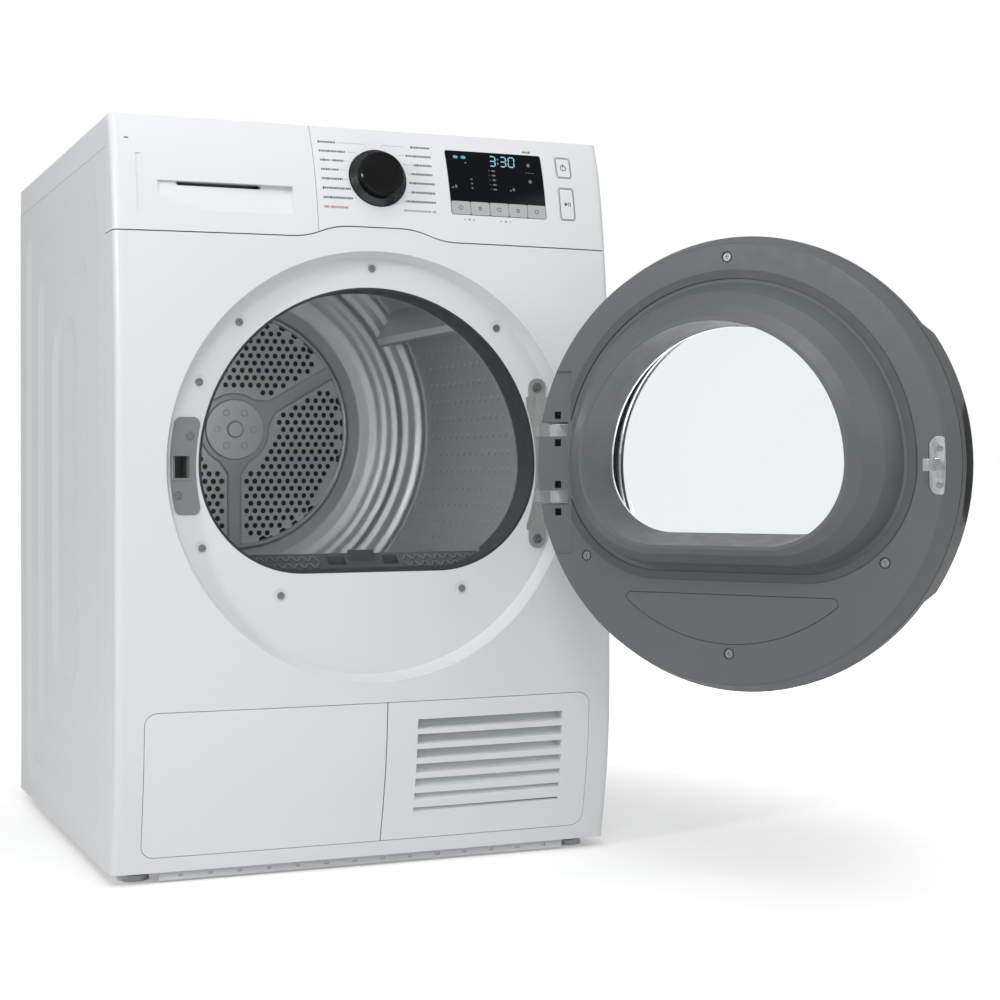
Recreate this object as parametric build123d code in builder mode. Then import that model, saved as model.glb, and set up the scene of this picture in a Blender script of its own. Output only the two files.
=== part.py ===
from build123d import *
import math
import os

os.makedirs("parts", exist_ok=True)

# ---------------------------------------------------------------- overall size
WIDTH = 598.0
HEIGHT = 850.0
BACK = 626.0
SIDE = WIDTH / 2
SHEET = 1.2
PLASTIC = 2.5
GAP = 0.6
FRONT_SEAM = 28.0
TOP_THICKNESS = 35.0
SIDE_FOOT = 10.0
PANEL_FOOT = 12.0
CORNER = 8.0

# ---------------------------------------------------------------- front surface
# height, depth of the surface at the corners, forward bow at the middle
FRONT_SECTIONS = (
    (12.0, 0.0, 3.0),
    (50.0, -7.6, 5.0),
    (150.0, -23.0, 9.0),
    (220.0, -25.5, 11.0),
    (330.0, -25.5, 13.0),
    (HEIGHT - 250.0, -25.5, 14.0),
    (HEIGHT - 130.0, -15.0, 13.0),
    (HEIGHT - 65.0, -6.0, 8.5),
    (HEIGHT, 12.6, 0.4),
)
CORNER_STEPS = 4
SEAM = HEIGHT - 132.0
SEAM_RISE = 13.5

# ---------------------------------------------------------------- door recess
MIDDLE = HEIGHT - 390.0
RING = 246.5
RING_DEPTH = -38.0
RECESS = -13.0
RECESS_RADIUS = 238.0
OPENING = 204.0
OPENING_FLOOR = MIDDLE - 122.0
SEAL = 3.0

# ---------------------------------------------------------------- drum
DRUM_Z = MIDDLE + 55.0
DRUM = 280.0
DRUM_SHEET = 1.0
DRUM_FRONT = 48.0
DRUM_END = 530.0
DISH_END = 588.0
FELT = 3.2
RUNNING = 0.4
LIFTERS = 3
LIFTER_TIP = 230.0
LIFTER_ANGLE = 31.8
LIFTER_FRONT = 110.0
LIFTER_BACK = 512.0
LIFTER_SHEET = 1.5
ROLLER = 30.0
ROLLER_X = 178.6
ROLLER_Y = 64.0
ROLLER_WIDTH = 16.0
BORE_FIT = 0.08
BELT_Y = 300.0
BELT_WIDTH = 8.0
BELT = 2.0
MOTOR_X = 150.0
MOTOR_Z = 130.0
MOTOR = 46.0
PULLEY = 12.0
IDLER = 18.0

# ---------------------------------------------------------------- door
DOOR_OPEN = 124.5
HINGE_X = 224.0
HINGE_Y = -74.0
DOOR = 244.5
DOOR_FACE = -15.0
DOOR_RIM = -40.0
DOOR_FRONT = -88.0
SHELL = 3.0
ARMS = (MIDDLE - 36.6, MIDDLE + 40.0)
ARM_HEIGHT = 13.6
PIN = 2.5
DOOR_SEAL = OPENING + 2.4
SEAL_LIFT = 1.5


def at_depth(y):
    """Plane facing the front at depth y: local x is x, local y is height."""
    return Plane.XZ.offset(-y)


def placed(piece, name):
    piece.label = name
    export_step(piece, "parts/" + name + ".step")


def grouped(pieces, name):
    """Several separate solids kept under one name."""
    placed(Compound(children=[solid for piece in pieces for solid in piece.solids()]), name)


def front_block(inset, back, top):
    """Solid behind the bowed front surface, moved in by inset on front and sides."""
    with BuildPart() as block:
        for height, corner_y, bow in FRONT_SECTIONS:
            side = SIDE - inset
            face_y = corner_y + inset
            radius = CORNER - inset
            angles = [math.pi / 2 * step / CORNER_STEPS for step in range(CORNER_STEPS + 1)]
            corner = [
                (side - radius + radius * math.cos(a), face_y + radius - radius * math.sin(a))
                for a in angles
            ]
            with BuildSketch(Plane.XY.offset(height)):
                with BuildLine():
                    Polyline((-side, back), (side, back), *corner)
                    ThreePointArc(corner[-1], (0, face_y - bow), (-corner[-1][0], face_y))
                    Polyline(*[(-x, y) for x, y in reversed(corner)], (-side, back))
                make_face()
        loft()
        with Locations((0, 0, top + 100)):
            Box(WIDTH + 20, 300, 200, mode=Mode.SUBTRACT)
    return block.part


def d_outline(radius, floor):
    """Round at the top with a flat floor and two rounded lower corners."""
    corner = MIDDLE - floor
    lower = corner * math.sqrt(0.5)
    with BuildLine() as outline:
        ThreePointArc((radius, MIDDLE), (0, MIDDLE + radius), (-radius, MIDDLE))
        ThreePointArc(
            (-radius, MIDDLE),
            (corner - radius - lower, MIDDLE - lower),
            (corner - radius, floor),
        )
        Line((corner - radius, floor), (radius - corner, floor))
        ThreePointArc(
            (radius - corner, floor),
            (radius - corner + lower, MIDDLE - lower),
            (radius, MIDDLE),
        )
    make_face(outline.edges())


def turned(points, centre_z, centre_x=0.0, mode=Mode.ADD):
    """Ring turned about a front-to-back axis from (depth, radius) points."""
    with BuildSketch(Plane.YZ.offset(centre_x)) as profile:
        with BuildLine():
            Polyline([(y, centre_z + r) for y, r in points], close=True)
        make_face()
    revolve(profile.sketch, axis=Axis((centre_x, 0, centre_z), (0, 1, 0)), mode=mode)


def rod(x, z, y_start, y_end, radius, mode=Mode.ADD):
    """Round bar lying front to back."""
    with BuildSketch(at_depth(y_start)) as profile:
        with Locations((x, z)):
            Circle(radius)
    extrude(profile.sketch, amount=y_start - y_end, mode=mode)


def block(x0, x1, y0, y1, z0, z1, mode=Mode.ADD):
    """Box between two corners."""
    with Locations(((x0 + x1) / 2, (y0 + y1) / 2, (z0 + z1) / 2)):
        Box(x1 - x0, y1 - y0, z1 - z0, mode=mode)


OUTER = front_block(0.0, FRONT_SEAM, HEIGHT)
STEEL_SKIN = OUTER - front_block(SHEET, FRONT_SEAM + 20, HEIGHT + 5)
PLASTIC_SKIN = OUTER - front_block(PLASTIC, FRONT_SEAM + 20, HEIGHT - PLASTIC)


def seam_curve(rise):
    """Line between the front panel and the fascia, raised over the door."""
    run = 35.0
    climb = SEAM_RISE / 2
    with BuildLine() as curve:
        Line((-SIDE - 20, SEAM + rise), (-30 - 2 * run, SEAM + rise))
        TangentArc(
            (-30 - 2 * run, SEAM + rise),
            (-30 - run, SEAM + rise + climb),
            tangent=(1, 0),
        )
        TangentArc(
            (-30, SEAM + rise + 2 * climb),
            (-30 - run, SEAM + rise + climb),
            tangent=(-1, 0),
        )
        Line((-30, SEAM + rise + 2 * climb), (30, SEAM + rise + 2 * climb))
        TangentArc(
            (30, SEAM + rise + 2 * climb),
            (30 + run, SEAM + rise + climb),
            tangent=(1, 0),
        )
        TangentArc(
            (30 + 2 * run, SEAM + rise),
            (30 + run, SEAM + rise + climb),
            tangent=(-1, 0),
        )
        Line((30 + 2 * run, SEAM + rise), (SIDE + 20, SEAM + rise))
    return curve


# ================================================================ front panel
# sideways place and height above the middle of the door of each screw
RECESS_SCREWS = (
    (0, 226),
    (-157, 160.5),
    (-203, 93),
    (-200, -91),
    (-109.5, -146),
    (110, -143),
    (155, 161.5),
)
SCREW_DISH = 8.0
SCREW_HEAD = 4.3
PLATE_HOLE = 100.0
COVER_SIDE = 267.5
COVER_FLOOR = 29.5
COVER_TOP = 190.5
COVER_CORNER = 15.0
RING_SLOPE = (RING - RECESS_RADIUS) / (RECESS - RING_DEPTH)


def wall_radius(y):
    """Radius of the sloping wall of the door recess at depth y."""
    return RECESS_RADIUS + RING_SLOPE * (RECESS - y)


LATCH_OUTER = 236.0
LATCH_INNER = 207.0
LATCH_HALF = 54.0


def latch_outline(inset, y=RECESS - 5):
    """Curved outline of the latch plate, left of the opening."""
    with BuildSketch(at_depth(y)) as outline:
        with Locations((0, MIDDLE)):
            Circle(LATCH_OUTER - inset)
            Circle(LATCH_INNER + inset, mode=Mode.SUBTRACT)
        with Locations((-LATCH_OUTER, MIDDLE)):
            Rectangle(200, 2 * (LATCH_HALF - inset), mode=Mode.INTERSECT)
        fillet(outline.vertices(), 8)
    return outline.sketch


with BuildPart() as recess_wall:
    turned(
        (
            (-60, wall_radius(-60)),
            (RECESS, RECESS_RADIUS),
            (RECESS, PLATE_HOLE),
            (RECESS + SHEET, PLATE_HOLE),
            (RECESS + SHEET, RECESS_RADIUS + SHEET),
            (-60, wall_radius(-60) + SHEET),
        ),
        MIDDLE,
    )
    add(OUTER, mode=Mode.INTERSECT)

with BuildPart() as front_panel:
    add(STEEL_SKIN)
    turned(
        (
            (-60, 0),
            (-60, wall_radius(-60)),
            (RECESS, RECESS_RADIUS),
            (RECESS, 0),
        ),
        MIDDLE,
        mode=Mode.SUBTRACT,
    )
    add(recess_wall.part)
    with BuildSketch(at_depth(-60)):
        d_outline(OPENING, OPENING_FLOOR)
    extrude(amount=-120, mode=Mode.SUBTRACT)
    with BuildSketch(at_depth(-60)):
        with Locations((0, (COVER_FLOOR + COVER_TOP) / 2)):
            RectangleRounded(
                2 * (COVER_SIDE + GAP), COVER_TOP - COVER_FLOOR + 2 * GAP, COVER_CORNER
            )
    extrude(amount=-120, mode=Mode.SUBTRACT)
    with BuildSketch(at_depth(-60)):
        with BuildLine():
            add(seam_curve(-GAP).line)
            Polyline(
                (SIDE + 20, SEAM - GAP),
                (SIDE + 20, HEIGHT + 60),
                (-SIDE - 20, HEIGHT + 60),
                (-SIDE - 20, SEAM - GAP),
            )
        make_face()
    extrude(amount=-120, mode=Mode.SUBTRACT)
    for screw_x, screw_z in RECESS_SCREWS:
        rod(screw_x, MIDDLE + screw_z, RECESS - 1, RECESS + SHEET / 2, SCREW_DISH, mode=Mode.SUBTRACT)
    extrude(latch_outline(3.0), amount=-20, mode=Mode.SUBTRACT)
placed(front_panel.part, "front_panel")

# ================================================================ control fascia
DRAWER_RIGHT = -68.2
FASCIA_TOP_BACK = 20.0
KNOB_X = 7.5
KNOB_Z = HEIGHT - 60.0
KNOB_Y = -12.8
KNOB_LEAN = 14.0
SKIRT = 34.3
CAP = 26.5
CAP_HEIGHT = 18.0
SHAFT = 3.0
DISPLAY_LEFT = 96.3
DISPLAY_RIGHT = 219.3
DISPLAY_FLOOR = HEIGHT - 81.0
DISPLAY_TOP = HEIGHT - 20.0
KEY_FLOOR = HEIGHT - 97.5
KEY_COUNT = 5
BUTTON_X = 248.7
BUTTON_WIDTH = 20.2
POWER_FLOOR = HEIGHT - 45.4
START_FLOOR = KEY_FLOOR + 0.2
START_TOP = START_FLOOR + 39.3
TRAVEL = 1.2
TANK_LEFT = -286.0
TANK_RIGHT = -74.0
TANK_FLOOR = HEIGHT - 126.0
TANK_TOP = HEIGHT - 44.0
TANK_FRONT = 17.0
TANK_BACK = 420.0
TANK_WALL = 2.0
TRAY_GAP = 1.0
TRAY = 2.0
TRAY_FRONT = 30.0
knob_plane = Plane(
    origin=(KNOB_X, KNOB_Y, KNOB_Z),
    x_dir=(1, 0, 0),
    z_dir=(0, -math.cos(math.radians(KNOB_LEAN)), math.sin(math.radians(KNOB_LEAN))),
)
button_shapes = (
    ("power_button", POWER_FLOOR, DISPLAY_TOP),
    ("start_button", START_FLOOR, START_TOP),
)
key_width = (DISPLAY_RIGHT - DISPLAY_LEFT) / KEY_COUNT
FRAME_SIDE = SIDE - PLASTIC - 1.5
FRAME_FRONT = 24.0
FRAME_TOP_FRONT = 16.5
TOP_FOOT = HEIGHT - TOP_THICKNESS
FRAME_RAIL = TANK_TOP + 2.0

with BuildPart() as control_fascia:
    add(PLASTIC_SKIN)
    with BuildSketch(at_depth(-60)) as below:
        with BuildLine():
            add(seam_curve(GAP).line)
            Polyline(
                (SIDE + 20, SEAM + GAP),
                (SIDE + 20, 0),
                (-SIDE - 20, 0),
                (-SIDE - 20, SEAM + GAP),
            )
        make_face()
    extrude(amount=-120, mode=Mode.SUBTRACT)
    # frame behind the skin, which reaches both sides above the tank drawer
    block(-FRAME_SIDE, FRAME_SIDE, FRAME_FRONT, FRONT_SEAM, SEAM + 20, TOP_FOOT)
    block(-FRAME_SIDE, FRAME_SIDE, FRAME_TOP_FRONT, FASCIA_TOP_BACK, FRAME_RAIL, HEIGHT - 3)
    block(-FRAME_SIDE, FRAME_SIDE, FASCIA_TOP_BACK - 2, FRONT_SEAM, FRAME_RAIL, TOP_FOOT - 1)
    block(-SIDE - 5, DRAWER_RIGHT + GAP, -60, FRAME_TOP_FRONT, SEAM - 10, HEIGHT + 10, mode=Mode.SUBTRACT)
    block(-SIDE - 5, -FRAME_SIDE, -60, 60, SEAM - 10, HEIGHT + 10, mode=Mode.SUBTRACT)
    block(TANK_LEFT - 3, TANK_RIGHT + 3, -60, 40, SEAM - 10, TANK_TOP + 2, mode=Mode.SUBTRACT)
    block(-60, SIDE - 6, 20, 40, SEAM + 30, TANK_TOP - 6, mode=Mode.SUBTRACT)
    # top edge is cut back to meet the top plate
    block(-SIDE - 5, SIDE + 5, FASCIA_TOP_BACK, 60, TOP_FOOT, HEIGHT + 10, mode=Mode.SUBTRACT)
    # knob, display and button openings
    with BuildSketch(knob_plane.offset(-30)):
        Circle(SKIRT + 0.7)
    extrude(amount=60, mode=Mode.SUBTRACT)
    with BuildSketch(at_depth(-60)):
        with Locations(((DISPLAY_LEFT + DISPLAY_RIGHT) / 2, (KEY_FLOOR + DISPLAY_TOP) / 2)):
            RectangleRounded(
                DISPLAY_RIGHT - DISPLAY_LEFT + 2 * GAP, DISPLAY_TOP - KEY_FLOOR + 2 * GAP, 3.0
            )
        for name, floor, top in button_shapes:
            with Locations((BUTTON_X, (floor + top) / 2)):
                RectangleRounded(BUTTON_WIDTH + 2 * GAP, top - floor + 2 * GAP, 3.0)
    extrude(amount=-76, mode=Mode.SUBTRACT)
placed(control_fascia.part, "control_fascia")

with BuildPart() as display_window:
    add(PLASTIC_SKIN)
    with BuildSketch(at_depth(-60)):
        with Locations(((DISPLAY_LEFT + DISPLAY_RIGHT) / 2, (DISPLAY_FLOOR + DISPLAY_TOP) / 2)):
            RectangleRounded(DISPLAY_RIGHT - DISPLAY_LEFT, DISPLAY_TOP - DISPLAY_FLOOR, 2.5)
    extrude(amount=-76, mode=Mode.INTERSECT)
placed(display_window.part, "display_window")


def front_key(x0, x1, z0, z1, name):
    """Key which is a piece of the front surface with a stem behind it."""
    with BuildPart() as key:
        add(PLASTIC_SKIN)
        with BuildSketch(at_depth(-60)) as outline:
            with Locations(((x0 + x1) / 2, (z0 + z1) / 2)):
                RectangleRounded(x1 - x0, z1 - z0, 2.0)
        extrude(outline.sketch, amount=-76, mode=Mode.INTERSECT)
        face_back = key.part.bounding_box().max.Y
        block(
            (x0 + x1) / 2 - 3,
            (x0 + x1) / 2 + 3,
            face_back - 4,
            face_back + 3,
            (z0 + z1) / 2 - 3,
            (z0 + z1) / 2 + 3,
        )
    placed(key.part, name)


for name, floor, top in button_shapes:
    front_key(BUTTON_X - BUTTON_WIDTH / 2, BUTTON_X + BUTTON_WIDTH / 2, floor, top, name)
for index in range(KEY_COUNT):
    left = DISPLAY_LEFT + index * key_width
    front_key(
        left + GAP / 2,
        left + key_width - GAP / 2,
        KEY_FLOOR,
        DISPLAY_FLOOR - GAP,
        "option_key_" + str(index + 1),
    )

with BuildPart() as knob_skirt:
    with BuildSketch(knob_plane.offset(-3)):
        Circle(SKIRT - 0.3)
    with BuildSketch(knob_plane.offset(2.5)):
        Circle(SKIRT)
    loft()
    with BuildSketch(knob_plane.offset(2.5)):
        Circle(SKIRT)
    with BuildSketch(knob_plane.offset(7)):
        Circle(CAP + 1.5)
    loft()
    with BuildSketch(knob_plane.offset(-3)):
        Circle(CAP)
    extrude(amount=12, mode=Mode.SUBTRACT)
placed(knob_skirt.part, "knob_skirt")

with BuildPart() as knob_cap:
    with BuildSketch(knob_plane.offset(-3)):
        Circle(CAP - BORE_FIT)
    extrude(amount=CAP_HEIGHT + 3)
    chamfer(knob_cap.faces().sort_by(Axis((0, 0, 0), tuple(knob_plane.z_dir)))[-1].edges(), 1.4)
    with BuildSketch(knob_plane.offset(CAP_HEIGHT)):
        Circle(CAP - 4)
    extrude(amount=-0.8, mode=Mode.SUBTRACT)
    with BuildSketch(knob_plane.offset(CAP_HEIGHT)):
        with Locations((0, CAP - 7.5)):
            Rectangle(1.6, 5.0)
    extrude(amount=-2.0, mode=Mode.SUBTRACT)
    with BuildSketch(knob_plane.offset(-22)):
        Circle(SHAFT)
    extrude(amount=22)
placed(knob_cap.part, "knob_cap")

board_plane = knob_plane.offset(-20)
with BuildPart() as interface_board:
    with BuildSketch(board_plane):
        with Locations((105, -8)):
            Rectangle(300, 42)
    extrude(amount=-1.6)
    with BuildSketch(board_plane):
        Rectangle(14, 14)
    extrude(amount=8)
    with BuildSketch(board_plane.offset(10)):
        Circle(SHAFT + BORE_FIT)
    extrude(amount=-15, mode=Mode.SUBTRACT)
placed(interface_board.part, "interface_board")

# ================================================================ water tank drawer
GRIP_LEFT = -249.0
GRIP_RIGHT = -95.0
GRIP_FLOOR = HEIGHT - 108.0
GRIP_TOP = HEIGHT - 75.0
GRIP_BACK = -7.0
FINGER_SLOT = 97.0
FINGER_X = -178.7
FINGER_HEIGHT = 4.6
GROOVE_LEFT = -271.8
GROOVE_WIDTH = 6.2
with BuildPart() as grip_back:
    block(GRIP_LEFT - 3, GRIP_RIGHT + 3, -40, GRIP_BACK + 9, GRIP_FLOOR - 3, GRIP_TOP + 14)
    add(OUTER, mode=Mode.INTERSECT)

with BuildPart() as tank_drawer_front:
    add(PLASTIC_SKIN)
    with BuildSketch(at_depth(-60)):
        with Locations(((DRAWER_RIGHT - SIDE - 5) / 2, (SEAM + GAP + HEIGHT) / 2)):
            Rectangle(DRAWER_RIGHT + SIDE + 5, HEIGHT - SEAM - GAP)
    extrude(amount=-90, mode=Mode.INTERSECT)
    block(-SIDE + PLASTIC, 0, FRAME_TOP_FRONT - 0.5, 60, SEAM - 10, HEIGHT + 10, mode=Mode.SUBTRACT)
    extrude(below.sketch, amount=-120, mode=Mode.SUBTRACT)
    block(-SIDE - 5, 0, FASCIA_TOP_BACK, 60, TOP_FOOT, HEIGHT + 10, mode=Mode.SUBTRACT)
    add(grip_back.part)
    with BuildSketch(Plane.YZ.offset(GRIP_LEFT)):
        with BuildLine():
            Polyline(
                (-60, GRIP_FLOOR),
                (GRIP_BACK - 12, GRIP_FLOOR),
                (GRIP_BACK, GRIP_TOP),
                (-60, GRIP_TOP),
                close=True,
            )
        make_face()
    extrude(amount=GRIP_RIGHT - GRIP_LEFT, mode=Mode.SUBTRACT)
    # finger slot through the back of the grip, under its upper edge
    with BuildSketch(at_depth(-30)):
        with Locations((FINGER_X, GRIP_TOP - FINGER_HEIGHT / 2)):
            SlotOverall(FINGER_SLOT, FINGER_HEIGHT)
    extrude(amount=-60, mode=Mode.SUBTRACT)
    # narrow upright groove beside the grip, as deep as half the wall
    with BuildSketch(Plane.YZ.offset(GROOVE_LEFT)):
        with BuildLine():
            Polyline(
                (-60, GRIP_FLOOR - 5),
                (-14.4, GRIP_FLOOR - 5),
                (-6.8, GRIP_TOP + 10),
                (-1.6, GRIP_TOP + 30),
                (-60, GRIP_TOP + 30),
                close=True,
            )
        make_face()
    extrude(amount=GROOVE_WIDTH, mode=Mode.SUBTRACT)
placed(tank_drawer_front.part, "tank_drawer_front")

FILLER_X = -230.0
FILLER_Y = TANK_BACK - 40.0
with BuildPart() as tank_hollow:
    block(
        TANK_LEFT + TANK_WALL,
        TANK_RIGHT - TANK_WALL,
        TANK_FRONT + TANK_WALL,
        TANK_BACK - TANK_WALL,
        TANK_FLOOR + TANK_WALL,
        TANK_TOP - TANK_WALL,
    )
    rod(0, DRUM_Z, 0, TANK_BACK + 20, DRUM + 13 + TANK_WALL, mode=Mode.SUBTRACT)

with BuildPart() as water_tank:
    block(TANK_LEFT, TANK_RIGHT, TANK_FRONT, TANK_BACK, TANK_FLOOR, TANK_TOP)
    rod(0, DRUM_Z, 0, TANK_BACK + 20, DRUM + 13, mode=Mode.SUBTRACT)
    add(tank_hollow.part, mode=Mode.SUBTRACT)
    with BuildSketch(Plane.XY.offset(TANK_TOP + 5)):
        with Locations((FILLER_X, FILLER_Y)):
            Circle(14)
    extrude(amount=-20, mode=Mode.SUBTRACT)
placed(water_tank.part, "water_tank")

with BuildPart() as tank_tray:
    tray_left = TANK_LEFT - TRAY_GAP - TRAY
    tray_right = TANK_RIGHT + TRAY_GAP + TRAY
    tray_back = TANK_BACK + TRAY_GAP + TRAY
    tray_top = TANK_TOP + TRAY_GAP
    block(tray_left, tray_right, TRAY_FRONT, tray_back, TANK_TOP + 1, tray_top + 1)
    block(tray_left, tray_left + TRAY, TRAY_FRONT, tray_back, TANK_FLOOR, tray_top)
    block(tray_right - TRAY, tray_right, TRAY_FRONT, tray_back, TANK_TOP - 2, tray_top)
    block(tray_left, tray_right, tray_back - TRAY, tray_back, TANK_FLOOR, tray_top)
    block(
        FILLER_X - 20,
        FILLER_X + 20,
        FILLER_Y - 25,
        FILLER_Y + 25,
        TANK_TOP - 5,
        TANK_TOP + 5,
        mode=Mode.SUBTRACT,
    )
    rod(0, DRUM_Z, 0, tray_back + 30, DRUM + 10, mode=Mode.SUBTRACT)
placed(tank_tray.part, "tank_tray")

# ================================================================ covers at the foot
COVER_SEAM = 10.0
LOUVRES = 7
LOUVRE_PITCH = 17.3
LOUVRE_FLOOR = 57.0
LOUVRE_SLOT = 9.0
LOUVRE_SLIT = 1.8
LOUVRE_LEFT = 47.5
LOUVRE_RIGHT = 232.5
LOUVRE_BACK = -6.0


def foot_cover(x0, x1):
    """Sketch of one cover, square at the middle seam and rounded outside."""
    with BuildSketch(at_depth(-60)) as outline:
        with Locations(((x0 + x1) / 2, (COVER_FLOOR + COVER_TOP) / 2)):
            Rectangle(x1 - x0, COVER_TOP - COVER_FLOOR)
        with Locations((0, (COVER_FLOOR + COVER_TOP) / 2)):
            RectangleRounded(
                2 * COVER_SIDE, COVER_TOP - COVER_FLOOR, COVER_CORNER - GAP, mode=Mode.INTERSECT
            )
    return outline.sketch


with BuildPart() as service_cover:
    add(PLASTIC_SKIN)
    extrude(foot_cover(-COVER_SIDE, COVER_SEAM - GAP), amount=-76, mode=Mode.INTERSECT)
placed(service_cover.part, "service_cover")

with BuildPart() as intake_grille:
    add(PLASTIC_SKIN)
    extrude(foot_cover(COVER_SEAM + GAP, COVER_SIDE), amount=-76, mode=Mode.INTERSECT)
    # thicker field behind the louvres, each a slope with an air slit at its head
    block(
        LOUVRE_LEFT - 3,
        LOUVRE_RIGHT + 3,
        -60,
        LOUVRE_BACK,
        LOUVRE_FLOOR - 4,
        LOUVRE_FLOOR + LOUVRES * LOUVRE_PITCH,
    )
    for index in range(LOUVRES):
        foot = LOUVRE_FLOOR + index * LOUVRE_PITCH
        head = foot + LOUVRE_SLOT
        with BuildSketch(Plane.YZ.offset(LOUVRE_LEFT)):
            with BuildLine():
                Polyline(
                    (-60, foot - 8),
                    (LOUVRE_BACK - 13, foot),
                    (LOUVRE_BACK - 4, head - LOUVRE_SLIT),
                    (LOUVRE_BACK + 5, head - LOUVRE_SLIT),
                    (LOUVRE_BACK + 5, head),
                    (-60, head),
                    close=True,
                )
            make_face()
        extrude(amount=LOUVRE_RIGHT - LOUVRE_LEFT, mode=Mode.SUBTRACT)
    add(OUTER, mode=Mode.INTERSECT)
placed(intake_grille.part, "intake_grille")

KICK_SIDE = 245.0
KICK_FRONT = 4.0
KICK_FOOT = 2.0
KICK_TOP = 24.0
KICK_SLOTS = 14
with BuildPart() as kick_rail:
    block(-KICK_SIDE, KICK_SIDE, KICK_FRONT, KICK_FRONT + 1.5, KICK_FOOT, KICK_TOP)
    block(-KICK_SIDE, KICK_SIDE, KICK_FRONT, 33, KICK_TOP - 1.5, KICK_TOP)
    with BuildSketch(at_depth(KICK_FRONT - 3)):
        with Locations((0, KICK_FOOT + 5)):
            with GridLocations(34, 1, KICK_SLOTS, 1):
                Rectangle(5, 3)
    extrude(amount=-6, mode=Mode.SUBTRACT)

# ================================================================ cabinet
STAMP = 3.6
STAMP_SLOPE = 11.0
# middle y, middle z, length, height, corner radius of each stamped step
STAMPS = (
    (320.5, 410.0, 485.0, 720.0, 35.0),
    (322.0, 410.0, 328.0, 584.0, 35.0),
    (322.5, 414.5, 157.0, 455.0, 60.0),
)
SIDE_FRONT = FRONT_SEAM + GAP
SIDE_TOP = HEIGHT - TOP_THICKNESS - 0.5


def stamp_step(sign, start, step, mode):
    """Shallow tapered step in a side panel, start millimetres below its skin."""
    middle_y, middle_z, length, height, radius = step
    grow = STAMP_SLOPE
    with BuildSketch(Plane.YZ.offset(sign * (SIDE - start))) as wide:
        with Locations((middle_y, middle_z)):
            RectangleRounded(length + 2 * grow, height + 2 * grow, radius + grow)
    with BuildSketch(Plane.YZ.offset(sign * (SIDE - start - STAMP))) as narrow:
        with Locations((middle_y, middle_z)):
            RectangleRounded(length - 2 * grow, height - 2 * grow, radius - grow)
    loft([wide.sketch, narrow.sketch], mode=mode)


def side_panel(sign, name):
    with BuildPart() as panel:
        inner = SIDE - SHEET
        low, high = sorted((sign * SIDE, sign * inner))
        block(low, high, SIDE_FRONT, BACK, SIDE_FOOT, SIDE_TOP)
        for index, step in enumerate(STAMPS):
            stamp_step(sign, index * STAMP + SHEET, step, Mode.ADD)
        for index, step in enumerate(STAMPS):
            stamp_step(sign, index * STAMP, step, Mode.SUBTRACT)
        low, high = sorted((sign * inner, sign * (inner - 15)))
        block(low, high, SIDE_FRONT, SIDE_FRONT + SHEET, SIDE_FOOT + 60, SIDE_TOP - 100)
        block(low, high, SIDE_FRONT, BACK, SIDE_TOP - SHEET, SIDE_TOP)
    placed(panel.part, name)


side_panel(-1, "side_panel_left")
side_panel(1, "side_panel_right")

with BuildPart() as top_plate:
    block(-SIDE, SIDE, FASCIA_TOP_BACK + GAP, BACK, HEIGHT - TOP_THICKNESS, HEIGHT)
    fillet(top_plate.edges().filter_by(Axis.Z).group_by(Axis.Y)[-1], 4)
    fillet(top_plate.faces().sort_by(Axis.Z)[-1].edges().sort_by(Axis.Y)[1:], 3)
    block(-SIDE + 6, SIDE - 6, 27, BACK - 6, HEIGHT - TOP_THICKNESS - 1, HEIGHT - 4, mode=Mode.SUBTRACT)
placed(top_plate.part, "top_plate")

REAR = 614.0
GLAND_X = 232.0
GLAND_Z = 60.0
SPIGOT_X = -232.0
SPIGOT_Z = HEIGHT - 150.0
COUPLER = 9.6
VENTS = 9
REAR_DISH = 203.0
with BuildPart() as rear_panel:
    edge = SIDE - SHEET - 0.3
    block(-edge, edge, REAR, REAR + SHEET, 14, SIDE_TOP - SHEET - 0.5)
    block(-edge, -edge + SHEET, REAR, BACK - 1, 14, SIDE_TOP - SHEET - 0.5)
    block(edge - SHEET, edge, REAR, BACK - 1, 14, SIDE_TOP - SHEET - 0.5)
    turned(((REAR, 0), (REAR, REAR_DISH + 12), (REAR + 6, REAR_DISH), (REAR + 6, 0)), DRUM_Z)
    turned(
        ((REAR - 1, 0), (REAR - 1, REAR_DISH + 12), (REAR + 4.8, REAR_DISH - 1.2), (REAR + 4.8, 0)),
        DRUM_Z,
        mode=Mode.SUBTRACT,
    )
    # cooling slots and openings for the gland and the drain
    with BuildSketch(at_depth(REAR - 5)):
        with Locations((150, 150)):
            with GridLocations(16, 1, VENTS, 1):
                Rectangle(7, 90)
        with Locations((GLAND_X, GLAND_Z), (SPIGOT_X, SPIGOT_Z)):
            Circle(COUPLER)
    extrude(amount=-20, mode=Mode.SUBTRACT)
placed(rear_panel.part, "rear_panel")

with BuildPart() as rear_screws:
    with BuildSketch(at_depth(REAR + SHEET)):
        with Locations((0, (SIDE_TOP + PANEL_FOOT) / 2)):
            with GridLocations(570, (SIDE_TOP - PANEL_FOOT) / 3.2, 2, 4):
                RegularPolygon(5, 6)
    extrude(amount=-3)

with BuildPart() as cord_gland:
    rod(GLAND_X, GLAND_Z, REAR - 6, REAR + SHEET, COUPLER - 0.1)
    rod(GLAND_X, GLAND_Z, REAR + SHEET, BACK - 1, 13)
    rod(GLAND_X, GLAND_Z, REAR - 10, BACK + 5, 5, mode=Mode.SUBTRACT)
placed(cord_gland.part, "cord_gland")

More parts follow.
